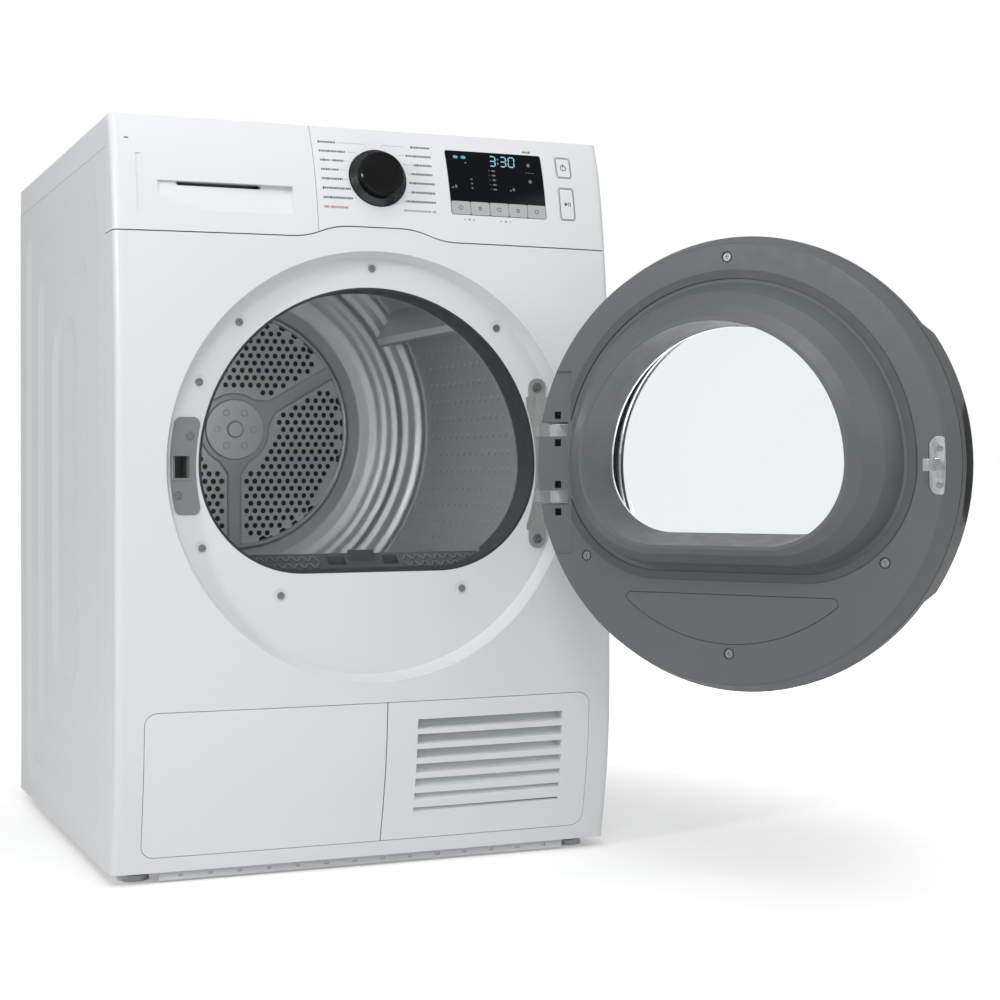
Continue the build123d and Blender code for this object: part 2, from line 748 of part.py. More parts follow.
SPIGOT = 8.0
with BuildPart() as drain_spigot:
    rod(SPIGOT_X, SPIGOT_Z, REAR - 8, REAR + SHEET, COUPLER - 0.1)
    rod(SPIGOT_X, SPIGOT_Z, REAR + SHEET, REAR + 4, 14)
    rod(SPIGOT_X, SPIGOT_Z, REAR + 4, BACK - 0.5, SPIGOT)
    rod(SPIGOT_X, SPIGOT_Z, REAR - 10, BACK + 5, SPIGOT - 2.5, mode=Mode.SUBTRACT)
placed(drain_spigot.part, "drain_spigot")

# ---------------------------------------------------------------- base and feet
PAN_FLOOR = 14.0
PAN_TOP = 52.0
PAN_FRONT = 32.0
PAN_BACK = 608.0
FOOT = 18.0
FOOT_X = 267.0
FOOT_FRONT = 38.0
FOOT_BACK = 580.0
STUD = 5.0
foot_places = (
    (-FOOT_X, FOOT_FRONT),
    (FOOT_X, FOOT_FRONT),
    (-FOOT_X, FOOT_BACK),
    (FOOT_X, FOOT_BACK),
)
with BuildPart() as base_pan:
    block(-292, 292, PAN_FRONT, PAN_BACK, PAN_FLOOR, PAN_TOP)
    block(-288, 288, PAN_FRONT + 4, PAN_BACK - 4, PAN_FLOOR + 4, PAN_TOP + 5, mode=Mode.SUBTRACT)
    for foot_x, foot_y in foot_places:
        with BuildSketch(Plane.XY.offset(PAN_FLOOR)):
            with Locations((foot_x, foot_y)):
                Circle(13)
        extrude(amount=30)
        with BuildSketch(Plane.XY.offset(PAN_FLOOR - 5)):
            with Locations((foot_x, foot_y)):
                Circle(STUD + BORE_FIT)
        extrude(amount=60, mode=Mode.SUBTRACT)
placed(base_pan.part + kick_rail.part, "base_pan")

with BuildPart() as feet:
    for foot_x, foot_y in foot_places:
        with BuildSketch(Plane.XY):
            with Locations((foot_x, foot_y)):
                Circle(FOOT)
        extrude(amount=6, taper=12)
        with BuildSketch(Plane.XY.offset(6)):
            with Locations((foot_x, foot_y)):
                Circle(STUD)
        extrude(amount=34)

with BuildPart() as foot_nuts:
    for foot_x, foot_y in foot_places:
        with BuildSketch(Plane.XY.offset(8.5)):
            with Locations((foot_x, foot_y)):
                RegularPolygon(9.5, 6)
                Circle(STUD + 0.01, mode=Mode.SUBTRACT)
        extrude(amount=5.5)
grouped([feet.part, foot_nuts.part], "feet")

# ================================================================ front bulkhead, seal, filter
BULKHEAD = 30.0
BULKHEAD_FOOT = 196.0
FILTER_SIDE = 150.0
FILTER_FRONT = 17.0
FILTER_BACK = 39.0
FILTER_FOOT = OPENING_FLOOR - 138.0
FILTER_FIT = 1.5
FILTER_TOP = OPENING_FLOOR + 20.0
FELT_SEAT = DRUM - FELT - 0.4
FLANGE = 5.0
FLANGE_END = 66.0
with BuildPart() as front_bulkhead:
    with BuildSketch(at_depth(BULKHEAD)):
        with Locations((0, (BULKHEAD_FOOT + MIDDLE + 100) / 2)):
            Rectangle(570, MIDDLE + 100 - BULKHEAD_FOOT)
        with Locations((0, DRUM_Z)):
            Circle(DRUM + 7)
    extrude(amount=-3)
    turned(
        (
            (BULKHEAD + 2, FELT_SEAT),
            (FLANGE_END, FELT_SEAT),
            (FLANGE_END, FELT_SEAT - FLANGE),
            (BULKHEAD + 2, FELT_SEAT - FLANGE),
        ),
        DRUM_Z,
    )
    block(-FILTER_SIDE - 7, FILTER_SIDE + 7, 10, 45, FILTER_FOOT - 10, OPENING_FLOOR - 1)
    with BuildSketch(at_depth(0)):
        d_outline(OPENING - SEAL, OPENING_FLOOR + SEAL)
    extrude(amount=-60, mode=Mode.SUBTRACT)
    block(
        -FILTER_SIDE - FILTER_FIT,
        FILTER_SIDE + FILTER_FIT,
        FILTER_FRONT - FILTER_FIT,
        FILTER_BACK + FILTER_FIT,
        FILTER_FOOT - 2,
        FILTER_TOP + 14,
        mode=Mode.SUBTRACT,
    )
    block(-120, 120, 20, 37, FILTER_FOOT - 15, FILTER_FOOT, mode=Mode.SUBTRACT)
placed(front_bulkhead.part, "front_bulkhead")

with BuildPart() as drum_felt:
    turned(
        (
            (DRUM_FRONT + 2, DRUM - RUNNING),
            (FLANGE_END - 2, DRUM - RUNNING),
            (FLANGE_END - 2, FELT_SEAT),
            (DRUM_FRONT + 2, FELT_SEAT),
        ),
        DRUM_Z,
    )
placed(drum_felt.part, "drum_felt")

with BuildPart() as opening_seal:
    with BuildSketch(at_depth(RECESS)):
        d_outline(OPENING - 0.1, OPENING_FLOOR + 0.1)
    extrude(amount=RECESS - BULKHEAD)
    with BuildSketch(at_depth(RECESS - 5)):
        d_outline(OPENING - SEAL, OPENING_FLOOR + SEAL)
    extrude(amount=-60, mode=Mode.SUBTRACT)
    block(
        -FILTER_SIDE - FILTER_FIT,
        FILTER_SIDE + FILTER_FIT,
        FILTER_FRONT - FILTER_FIT,
        40,
        OPENING_FLOOR - 8,
        FILTER_TOP + 14,
        mode=Mode.SUBTRACT,
    )
placed(opening_seal.part, "opening_seal")

with BuildPart() as filter_frame:
    with BuildSketch(Plane.YZ.offset(-FILTER_SIDE)):
        with BuildLine():
            Polyline(
                (FILTER_FRONT, FILTER_FOOT),
                (FILTER_BACK, FILTER_FOOT),
                (FILTER_BACK, FILTER_TOP),
                (FILTER_FRONT, FILTER_TOP - 16),
                close=True,
            )
        make_face()
    extrude(amount=2 * FILTER_SIDE)
    block(
        6 - FILTER_SIDE,
        FILTER_SIDE - 6,
        FILTER_FRONT + 3,
        FILTER_BACK - 3,
        FILTER_FOOT - 1,
        FILTER_TOP - 22,
        mode=Mode.SUBTRACT,
    )
    for window_x in (-96, 0, 96):
        block(
            window_x - 43, window_x + 43, 0, 60, FILTER_FOOT + 8, FILTER_TOP - 30, mode=Mode.SUBTRACT
        )
    # lint mouths on both sides of the lifting tab
    for mouth_left, mouth_right in ((-41, -19), (27, 46)):
        block(mouth_left, mouth_right, 22, 35, FILTER_TOP - 28, FILTER_TOP + 12, mode=Mode.SUBTRACT)
    block(-15, 15, 27, 34, FILTER_TOP - 13, FILTER_TOP + 4)
placed(filter_frame.part, "filter_frame")

with BuildPart() as filter_mesh:
    for mesh_y in (FILTER_FRONT + 3, FILTER_BACK - 3.8):
        block(
            6 - FILTER_SIDE, FILTER_SIDE - 6, mesh_y, mesh_y + 0.8, FILTER_FOOT + 2, FILTER_TOP - 23
        )
placed(filter_mesh.part, "filter_mesh")

# ================================================================ drum
HUB = 44.0
PERFORATED = 588.0
DISH_SHEET = 1.4
STAR_RING = 165.0
SPOKE = 12.0
STAR_LIFT = 5.0
SPOKES = (30, 150, 270)
with BuildPart() as drum_cylinder:
    turned(
        (
            (DRUM_FRONT, DRUM),
            (DRUM_END, DRUM),
            (DRUM_END, DRUM + DRUM_SHEET),
            (DRUM_FRONT, DRUM + DRUM_SHEET),
        ),
        DRUM_Z,
    )
placed(drum_cylinder.part, "drum_cylinder")

with BuildPart() as drum_rear:
    # rolled edge, then two shallow swells down to the perforated disc
    inner = (
        (DRUM_END, DRUM - 4),
        (DRUM_END + 4, DRUM - 4),
        (DRUM_END + 9, DRUM + 1),
        (DRUM_END + 17, DRUM - 4),
        (DRUM_END + 22, DRUM - 12),
        (DRUM_END + 24, DRUM - 22),
        (DRUM_END + 28, DRUM - 30),
        (DRUM_END + 36, DRUM - 35),
        (DRUM_END + 40, DRUM - 42),
        (DRUM_END + 41.5, DRUM - 50),
        (DRUM_END + 45, DRUM - 56),
        (PERFORATED - 8, DRUM - 62),
        (PERFORATED - 4, DRUM - 72),
        (PERFORATED, DRUM - 86),
        (PERFORATED, 0),
    )
    outer = [(y + DISH_SHEET, r + DISH_SHEET) for y, r in inner[2:-1]]
    turned(
        (
            *inner,
            (PERFORATED + DISH_SHEET, 0),
            *reversed(outer),
            (DRUM_END, DRUM + DRUM_SHEET),
        ),
        DRUM_Z,
    )
    # raised star: ring, hub seat and three spokes which widen towards the hub
    with BuildSketch(at_depth(PERFORATED)):
        with Locations((0, DRUM_Z)):
            Circle(STAR_RING + 9)
            Circle(STAR_RING, mode=Mode.SUBTRACT)
            Circle(HUB + 10)
            with PolarLocations(0, len(SPOKES), SPOKES[0]):
                Polygon(
                    (HUB - 10, -34),
                    (HUB + 22, -SPOKE),
                    (STAR_RING + 3, -SPOKE),
                    (STAR_RING + 3, SPOKE),
                    (HUB + 22, SPOKE),
                    (HUB - 10, 34),
                    align=(Align.NONE, Align.NONE),
                )
    extrude(amount=STAR_LIFT, taper=30)

lifters = []
for index in range(LIFTERS):
    turn = LIFTER_ANGLE + index * 360 / LIFTERS
    foot_low = math.radians(turn - 3.5)
    tip_low = math.radians(turn - 1.2)
    tip = math.radians(turn)
    tip_high = math.radians(turn + 2.2)
    foot_high = math.radians(turn + 6.0)
    foot_mid = (foot_low + foot_high) / 2
    wall = DRUM - 0.05
    corners = [
        (radius * math.cos(angle), DRUM_Z + radius * math.sin(angle))
        for radius, angle in (
            (wall, foot_low),
            (LIFTER_TIP + 3, tip_low),
            (LIFTER_TIP, tip),
            (LIFTER_TIP + 3, tip_high),
            (wall, foot_high),
            (wall, foot_mid),
        )
    ]
    with BuildSketch(at_depth(LIFTER_FRONT)) as profile:
        with BuildLine():
            Polyline(*corners[:-1])
            ThreePointArc(corners[-2], corners[-1], corners[0])
        make_face()
    with BuildSketch(at_depth(LIFTER_FRONT - 1)) as hollow:
        with BuildLine():
            Polyline(*corners[:-1])
            ThreePointArc(corners[-2], corners[-1], corners[0])
        make_face()
        offset(amount=-LIFTER_SHEET)
    with BuildPart() as lifter:
        extrude(profile.sketch, amount=LIFTER_FRONT - LIFTER_BACK)
        extrude(hollow.sketch, amount=LIFTER_FRONT - LIFTER_BACK - 2, mode=Mode.SUBTRACT)
        turned(
            (
                (LIFTER_FRONT - 10, 0),
                (LIFTER_FRONT - 10, DRUM - 4),
                (LIFTER_FRONT, DRUM - 4),
                (LIFTER_FRONT + 60, LIFTER_TIP - 2),
                (LIFTER_FRONT + 60, 0),
            ),
            DRUM_Z,
            mode=Mode.SUBTRACT,
        )
    lifters.append(lifter.part)
grouped(lifters, "drum_lifters")

with BuildPart() as hub_disc:
    hub_back = PERFORATED - STAR_LIFT
    turned(
        (
            (hub_back, 0),
            (hub_back, HUB),
            (hub_back - 3, HUB - 1.5),
            (hub_back - 3, 12.5),
            (hub_back - 6, 10.5),
            (hub_back - 6, 0),
        ),
        DRUM_Z,
    )
    with BuildSketch(at_depth(hub_back - 10)):
        with Locations((0, DRUM_Z)):
            with PolarLocations(27, 6):
                Circle(5)
    extrude(amount=-8, mode=Mode.SUBTRACT)

with BuildPart() as hub_screws:
    with BuildSketch(at_depth(hub_back - 2)):
        with Locations((0, DRUM_Z)):
            with PolarLocations(27, 6):
                RegularPolygon(4.4, 6)
    extrude(amount=1.5)
grouped([hub_disc.part, hub_screws.part], "hub_disc")

SPINDLE = 8.0
with BuildPart() as drum_shaft:
    rod(0, DRUM_Z, PERFORATED - 3, 606, SPINDLE)
placed(drum_rear.part + drum_shaft.part, "drum_rear")

with BuildPart() as rear_bearing:
    rod(0, DRUM_Z, 594, 604, 22)
    rod(0, DRUM_Z, 590, 610, SPINDLE + BORE_FIT, mode=Mode.SUBTRACT)

with BuildPart() as rear_bulkhead:
    block(-288, 288, 600, 600 + SHEET, DRUM_Z - 305, TOP_FOOT - 15)
    turned(((556, 290), (600.5, 290), (600.5, 290 - SHEET), (556, 290 - SHEET)), DRUM_Z)
    rod(0, DRUM_Z, 590, 610, 22, mode=Mode.SUBTRACT)
    block(-296, 296, 550, 610, TOP_FOOT - 9, HEIGHT + 50, mode=Mode.SUBTRACT)
placed(rear_bulkhead.part, "rear_bulkhead")

# ---------------------------------------------------------------- rollers
ROLLER_DROP = math.sqrt((DRUM + DRUM_SHEET + ROLLER + 0.3) ** 2 - ROLLER_X**2)
AXLE = 5.0
for sign, name in ((-1, "roller_left"), (1, "roller_right")):
    with BuildPart() as roller:
        roller_x = sign * ROLLER_X
        roller_z = DRUM_Z - ROLLER_DROP
        side = ROLLER_WIDTH / 2
        rod(roller_x, roller_z, ROLLER_Y - side, ROLLER_Y + side, ROLLER)
        rod(
            roller_x,
            roller_z,
            ROLLER_Y - side - 1,
            ROLLER_Y + side + 1,
            AXLE + BORE_FIT,
            mode=Mode.SUBTRACT,
        )
        with BuildSketch(at_depth(ROLLER_Y - 9)):
            with Locations((sign * ROLLER_X, DRUM_Z - ROLLER_DROP)):
                with PolarLocations(17, 4):
                    Circle(5.5)
        extrude(amount=-20, mode=Mode.SUBTRACT)
    placed(roller.part, name)

with BuildPart() as roller_axles:
    for sign in (-1, 1):
        rod(sign * ROLLER_X, DRUM_Z - ROLLER_DROP, BULKHEAD + 3, ROLLER_Y + 14, AXLE)
        rod(sign * ROLLER_X, DRUM_Z - ROLLER_DROP, BULKHEAD + 3, ROLLER_Y - 9, AXLE + 4)

# ---------------------------------------------------------------- motor, fan and belt
with BuildPart() as motor_body:
    turned(
        (
            (340, 0),
            (340, 30),
            (346, MOTOR - 6),
            (352, MOTOR),
            (448, MOTOR),
            (454, MOTOR - 6),
            (460, 30),
            (460, 0),
        ),
        MOTOR_Z,
        MOTOR_X,
    )
    for foot_y in (356, 436):
        block(
            MOTOR_X - 34,
            MOTOR_X + 34,
            foot_y,
            foot_y + 8,
            PAN_FLOOR + 4,
            MOTOR_Z - MOTOR / 2,
        )
    block(MOTOR_X - 44, MOTOR_X + 44, 350, 450, PAN_FLOOR + 4, PAN_FLOOR + 7)
    rod(MOTOR_X, MOTOR_Z, 300, 500, 6 + BORE_FIT, mode=Mode.SUBTRACT)
placed(motor_body.part, "motor_body")

with BuildPart() as motor_rotor:
    rod(MOTOR_X, MOTOR_Z, 286, 552, 6)
    rod(MOTOR_X, MOTOR_Z, BELT_Y - 7, BELT_Y + 7, PULLEY)
    rod(MOTOR_X, MOTOR_Z, BELT_Y - 10, BELT_Y - 7, PULLEY + 4)
    rod(MOTOR_X, MOTOR_Z, BELT_Y + 7, BELT_Y + 10, PULLEY + 4)
placed(motor_rotor.part, "motor_rotor")

with BuildPart() as fan_wheel:
    rod(MOTOR_X, MOTOR_Z, 540, 543, 66)
    rod(MOTOR_X, MOTOR_Z, 530, 552, 14)
    rod(MOTOR_X, MOTOR_Z, 520, 560, 6, mode=Mode.SUBTRACT)
    with BuildSketch(at_depth(508)):
        with Locations((MOTOR_X, MOTOR_Z)):
            with PolarLocations(58, 16):
                Rectangle(14, 2.5, rotation=35)
    extrude(amount=-33)
    turned(((508, 66), (510, 66), (510, 52), (508, 52)), MOTOR_Z, MOTOR_X)
placed(fan_wheel.part, "fan_wheel")

with BuildPart() as fan_housing:
    with BuildSketch(at_depth(500)):
        with Locations((MOTOR_X, MOTOR_Z)):
            Circle(82)
        with Locations((MOTOR_X + 50, MOTOR_Z + 60)):
            Rectangle(64, 80)
    extrude(amount=-60)
    with BuildSketch(at_depth(503)):
        with Locations((MOTOR_X, MOTOR_Z)):
            Circle(79)
        with Locations((MOTOR_X + 50, MOTOR_Z + 62)):
            Rectangle(58, 82)
    extrude(amount=-54, mode=Mode.SUBTRACT)
    rod(MOTOR_X, MOTOR_Z, 495, 505, 45, mode=Mode.SUBTRACT)
    block(MOTOR_X - 30, MOTOR_X + 30, 510, 550, PAN_FLOOR + 4, MOTOR_Z - 80)
    rod(MOTOR_X, MOTOR_Z, 503, 557, 79, mode=Mode.SUBTRACT)
placed(fan_housing.part, "fan_housing")

BELT_DRUM = DRUM + DRUM_SHEET + 0.1
BELT_PULLEY = PULLEY + 0.1


def belt_shape(grow):
    with BuildSketch(at_depth(BELT_Y - BELT_WIDTH / 2)) as loop:
        with Locations((0, DRUM_Z)):
            Circle(BELT_DRUM + grow)
        with Locations((MOTOR_X, MOTOR_Z)):
            Circle(BELT_PULLEY + grow)
        make_hull()
    return loop.sketch


with BuildPart() as drive_belt:
    extrude(belt_shape(BELT), amount=-BELT_WIDTH)
    extrude(belt_shape(0.0), amount=-BELT_WIDTH, mode=Mode.SUBTRACT)
placed(drive_belt.part, "drive_belt")

# the idler stands against the outside of the long lower run of the belt
run_length = math.hypot(MOTOR_X, DRUM_Z - MOTOR_Z)
along = (MOTOR_X / run_length, (MOTOR_Z - DRUM_Z) / run_length)
lean = (BELT_DRUM - BELT_PULLEY) / run_length
side_lean = math.sqrt(1 - lean**2)
out_x = lean * along[0] + side_lean * along[1]
out_z = lean * along[1] - side_lean * along[0]
share = 0.78
touch_x = share * (MOTOR_X + BELT_PULLEY * out_x) + (1 - share) * BELT_DRUM * out_x
touch_z = share * (MOTOR_Z + BELT_PULLEY * out_z) + (1 - share) * (DRUM_Z + BELT_DRUM * out_z)
IDLER_X = touch_x + (BELT + IDLER + 0.3) * out_x
IDLER_Z = touch_z + (BELT + IDLER + 0.3) * out_z
with BuildPart() as idler_pulley:
    rod(IDLER_X, IDLER_Z, BELT_Y - 7, BELT_Y + 7, IDLER)
    rod(IDLER_X, IDLER_Z, BELT_Y - 10, BELT_Y + 10, 4 + BORE_FIT, mode=Mode.SUBTRACT)
placed(idler_pulley.part, "idler_pulley")

with BuildPart() as idler_arm:
    rod(IDLER_X, IDLER_Z, BELT_Y - 10, BELT_Y + 14, 4)
    block(IDLER_X - 10, IDLER_X + 10, BELT_Y + 10, BELT_Y + 14, PAN_FLOOR + 4, IDLER_Z + 10)
    block(IDLER_X - 22, IDLER_X + 22, BELT_Y + 10, BELT_Y + 36, PAN_FLOOR + 4, PAN_FLOOR + 8)
grouped([idler_arm.part, roller_axles.part, rear_bearing.part], "drive_supports")

# ---------------------------------------------------------------- heat pump
PUMP_X = 160.0
PUMP_Y = 150.0
PUMP = 52.0
PUMP_TOP = PAN_FLOOR + 162.0
with BuildPart() as compressor:
    with BuildSketch(Plane.XY.offset(PAN_FLOOR + 13)):
        with Locations((PUMP_X, PUMP_Y)):
            Circle(PUMP)
    extrude(amount=PUMP_TOP - PAN_FLOOR - 13)
    chamfer(compressor.faces().sort_by(Axis.Z)[-1].edges(), 16)
    with BuildSketch(Plane.XY.offset(PAN_FLOOR + 10)):
        with Locations((PUMP_X, PUMP_Y)):
            RectangleRounded(144, 124, 12)
    extrude(amount=3)
    with BuildSketch(Plane.XY.offset(PAN_FLOOR + 4)):
        with Locations((PUMP_X, PUMP_Y)):
            with GridLocations(124, 104, 2, 2):
                Circle(9)
    extrude(amount=6)
placed(compressor.part, "compressor")

COIL_LEFT = -276.0
COIL_RIGHT = -40.0
COIL_TOP = 184.0
FIN_GAPS = 11
FIN_PITCH = 20.0
FIN_GAP = 15.0
with BuildPart() as heat_exchangers:
    for front_y, back_y in ((66.0, 158.0), (178.0, 288.0)):
        block(COIL_LEFT, COIL_RIGHT, front_y, back_y, PAN_FLOOR + 4, COIL_TOP)
        for index in range(FIN_GAPS):
            gap_x = COIL_LEFT + 10 + index * FIN_PITCH
            block(
                gap_x,
                gap_x + FIN_GAP,
                front_y - 2,
                back_y + 2,
                PAN_FLOOR + 12,
                COIL_TOP - 8,
                mode=Mode.SUBTRACT,
            )

PIPE = 4.0
with BuildPart() as refrigerant_pipes:
    with BuildLine() as upper_run:
        Polyline(
            (PUMP_X, PUMP_Y, PUMP_TOP),
            (PUMP_X, PUMP_Y, PUMP_TOP + 20),
            (PUMP_X - 20, PUMP_Y, PUMP_TOP + 30),
            (20, 240, PUMP_TOP + 30),
            (0, 240, PUMP_TOP + 16),
            (0, 240, 160),
            (-12, 240, 150),
            (COIL_RIGHT + 1, 240, 150),
        )
    with BuildSketch(Plane(origin=(PUMP_X, PUMP_Y, PUMP_TOP), z_dir=(0, 0, 1))) as upper_round:
        Circle(PIPE)
    sweep(upper_round.sketch, path=upper_run.wires()[0], transition=Transition.RIGHT)
    with BuildLine() as lower_run:
        Polyline(
            (COIL_RIGHT + 1, 110, 70),
            (40, 110, 70),
            (60, PUMP_Y, 70),
            (PUMP_X - PUMP - 1, PUMP_Y, 70),
        )
    with BuildSketch(Plane(origin=(COIL_RIGHT + 1, 110, 70), z_dir=(1, 0, 0))) as lower_round:
        Circle(PIPE)
    sweep(lower_round.sketch, path=lower_run.wires()[0], transition=Transition.RIGHT)
grouped([heat_exchangers.part, refrigerant_pipes.part], "heat_exchangers")

with BuildPart() as condensate_pump:
    block(-226, -156, 520, 598, PAN_FLOOR + 4, 70)
    rod(-191, 95, 530, 590, 22)
    block(-202, -180, 540, 580, 68, 90)
placed(condensate_pump.part, "condensate_pump")

with BuildPart() as main_board_box:
    block(222, 286, 350, 560, TOP_FOOT - 74, TOP_FOOT - 10)
    chamfer(main_board_box.edges().filter_by(Axis.Y), 4)
placed(main_board_box.part, "main_board_box")

# ================================================================ latch and hinge leaf
SOCKET_LEFT = -233.8
SOCKET_RIGHT = -214.7
SOCKET_FLOOR = MIDDLE - 13.3
SOCKET_TOP = MIDDLE + 10.9
latch_screws = ((-213.5, MIDDLE + 33), (-228.0, MIDDLE - 33))
with BuildPart() as latch_plate:
    extrude(latch_outline(0.0, RECESS - 1.0), amount=-1.0)
    extrude(latch_outline(3.4, RECESS), amount=-2.2)
    # raised frame round the hook socket
    block(
        SOCKET_LEFT - 3,
        SOCKET_RIGHT + 3,
        RECESS - 1.6,
        RECESS,
        SOCKET_FLOOR - 3,
        SOCKET_TOP + 3,
    )
    with BuildSketch(at_depth(-60)):
        with Locations((0, MIDDLE)):
            Circle(LATCH_OUTER)
    extrude(amount=-60, mode=Mode.INTERSECT)
    block(
        SOCKET_LEFT,
        SOCKET_RIGHT,
        RECESS - 5,
        RECESS + 5,
        SOCKET_FLOOR,
        SOCKET_TOP,
        mode=Mode.SUBTRACT,
    )
    for screw_x, screw_z in latch_screws:
        rod(screw_x, screw_z, RECESS - 5, RECESS, SCREW_HEAD + 0.4, mode=Mode.SUBTRACT)

with BuildPart() as latch_body:
    block(-232, -204.5, RECESS + 2.4, 22, MIDDLE - 30, MIDDLE + 28)
    block(-230, -216, RECESS - 5, 19, SOCKET_FLOOR, SOCKET_TOP, mode=Mode.SUBTRACT)
    with BuildSketch(at_depth(-60)):
        d_outline(OPENING + 0.6, OPENING_FLOOR)
    extrude(amount=-120, mode=Mode.SUBTRACT)
grouped([latch_plate.part, latch_body.part], "latch")


def screw_heads(places, y, depth, radius=SCREW_HEAD):
    """Round heads with a cross recess in the side at depth y; a negative depth faces the back."""
    with BuildPart() as heads:
        with BuildSketch(at_depth(y)):
            with Locations(*places):
                Circle(radius)
        extrude(amount=-depth)
        with BuildSketch(at_depth(y)):
            with Locations(*places):
                Rectangle(radius * 1.1, 0.9)
                Rectangle(0.9, radius * 1.1)
        extrude(amount=-depth / 2, mode=Mode.SUBTRACT)
    return heads.part


panel_places = [(x, MIDDLE + z) for x, z in RECESS_SCREWS]
panel_screws = screw_heads(panel_places, RECESS - 0.9, 0.9 + SHEET / 2)
socket_screws = screw_heads(latch_screws, RECESS - 0.9, 0.9)

LEAF_LEFT = 193.0
LEAF_RIGHT = 226.0
LEAF_FLOOR = MIDDLE - 98.0
LEAF_TOP = MIDDLE + 103.0
LEAF = 1.8
ARM = 4.0
ARM_X = 206.0
LEAF_LOBE = 11.0
hinge_screw_places = ((206.4, LEAF_TOP - LEAF_LOBE), (206.4, LEAF_FLOOR + LEAF_LOBE))
with BuildPart() as hinge_bracket:
    with BuildSketch(at_depth(RECESS)):
        with Locations(((LEAF_LEFT + LEAF_RIGHT) / 2, (LEAF_FLOOR + LEAF_TOP) / 2)):
            Rectangle(LEAF_RIGHT - LEAF_LEFT, LEAF_TOP - LEAF_FLOOR - 4 * LEAF_LOBE)
        with Locations((0, MIDDLE)):
            Circle(RECESS_RADIUS - 1.5, mode=Mode.INTERSECT)
            Circle(OPENING + 1.0, mode=Mode.SUBTRACT)
        # the ends narrow to a round lobe about each screw
        for lobe_x, lobe_z in hinge_screw_places:
            toward = 1 if lobe_z < MIDDLE else -1
            with Locations((lobe_x, lobe_z)):
                Circle(LEAF_LOBE)
            with Locations((lobe_x, lobe_z + toward * LEAF_LOBE)):
                Rectangle(2 * LEAF_LOBE, 2 * LEAF_LOBE)
    extrude(amount=LEAF)
    with BuildSketch(at_depth(RECESS - 20)):
        with Locations((0, MIDDLE)):
            Circle(OPENING + 1.0)
    extrude(amount=-60, mode=Mode.SUBTRACT)
    for arm_z in ARMS:
        with BuildSketch(Plane.XY.offset(arm_z - ARM_HEIGHT / 2)):
            with BuildLine():
                Polyline(
                    (ARM_X - ARM / 2 + 1, RECESS - LEAF / 2),
                    (ARM_X - ARM / 2 + 1, -54),
                    (HINGE_X - 3, HINGE_Y - 4),
                    (HINGE_X + 3, HINGE_Y + 4),
                    (ARM_X + ARM / 2 + 1, -51),
                    (ARM_X + ARM / 2 + 1, RECESS - LEAF / 2),
                    close=True,
                )
            make_face()
            with Locations((HINGE_X, HINGE_Y)):
                Circle(5.2)
                Circle(PIN + BORE_FIT, mode=Mode.SUBTRACT)
        extrude(amount=ARM_HEIGHT)
placed(hinge_bracket.part, "hinge_bracket")

hinge_screws = screw_heads(hinge_screw_places, RECESS - LEAF - 1.4, 1.4, 5.6)
grouped([panel_screws, socket_screws, rear_screws.part, hinge_screws], "cabinet_screws")

# ================================================================ door, drawn closed
hinge_axis = Axis((HINGE_X, HINGE_Y, 0), (0, 0, 1))
SLOT_SIDE = ARM_HEIGHT / 2 + 1.0
INNER_PLATE = 3.0
PANE_SEAT = 165.0
PLUG_BASE = 193.0
PLUG_BASE_FLOOR = MIDDLE - 109.0
PLUG_SHOULDER = 182.0
PLUG_SHOULDER_FLOOR = MIDDLE - 105.0
PLUG_SHOULDER_Y = 8.0
PLUG_RIM = 166.0
PLUG_RIM_FLOOR = MIDDLE - 95.0
PLUG_RIM_Y = 28.0
PLUG_END = 35.0
PLUG_TOP = 154.0
PLUG_TOP_FLOOR = MIDDLE - 89.0
PLUG_WALL = 3.0
WELL = 147.0
WELL_FLOOR = MIDDLE - 74.0
WELL_MOUTH = 149.5
WELL_MOUTH_FLOOR = MIDDLE - 85.5
WELL_BACK = -31.0
GRIP_SIDE = 150.0
HINGE_LOBE = 82.0
BEND_STEPS = 6
SHELL_EDGE = -52.0
SHELL_TURN = 25.0


def door_placed(piece, name):
    placed(piece.rotate(hinge_axis, DOOR_OPEN), name)


def door_body(inset, edge, turn):
    """Turned body of the door outside, moved in by inset."""
    bend = turn - inset
    points = [(DOOR_RIM - 0.3, 0), (DOOR_RIM - 0.3, DOOR - inset)]
    for step in range(BEND_STEPS + 1):
        angle = math.radians(80) * step / BEND_STEPS
        points.append((edge - bend * math.sin(angle), DOOR - turn + bend * math.cos(angle)))
    points += [(DOOR_FRONT + 2 + inset, PANE_SEAT), (DOOR_FRONT + 2 + inset, 0)]
    with BuildPart() as body:
        turned(points, MIDDLE)
    return body.part


def lobe(inset, edge, turn, x0, x1, half_height):
    """Fuller part of the door body, sloped off above and below."""
    with BuildPart() as piece:
        add(door_body(inset, edge, turn))
        with BuildSketch(Plane.YZ.offset(x0)) as side:
            with BuildLine():
                Polyline(
                    (-120, MIDDLE + half_height - LOBE_SLOPE - inset),
                    (0, MIDDLE + half_height + LOBE_SLOPE / 2 - inset),
                    (0, MIDDLE - half_height - LOBE_SLOPE / 2 + inset),
                    (-120, MIDDLE - half_height + LOBE_SLOPE + inset),
                    close=True,
                )
            make_face()
        extrude(side.sketch, amount=x1 - x0, mode=Mode.INTERSECT)
    return piece.part


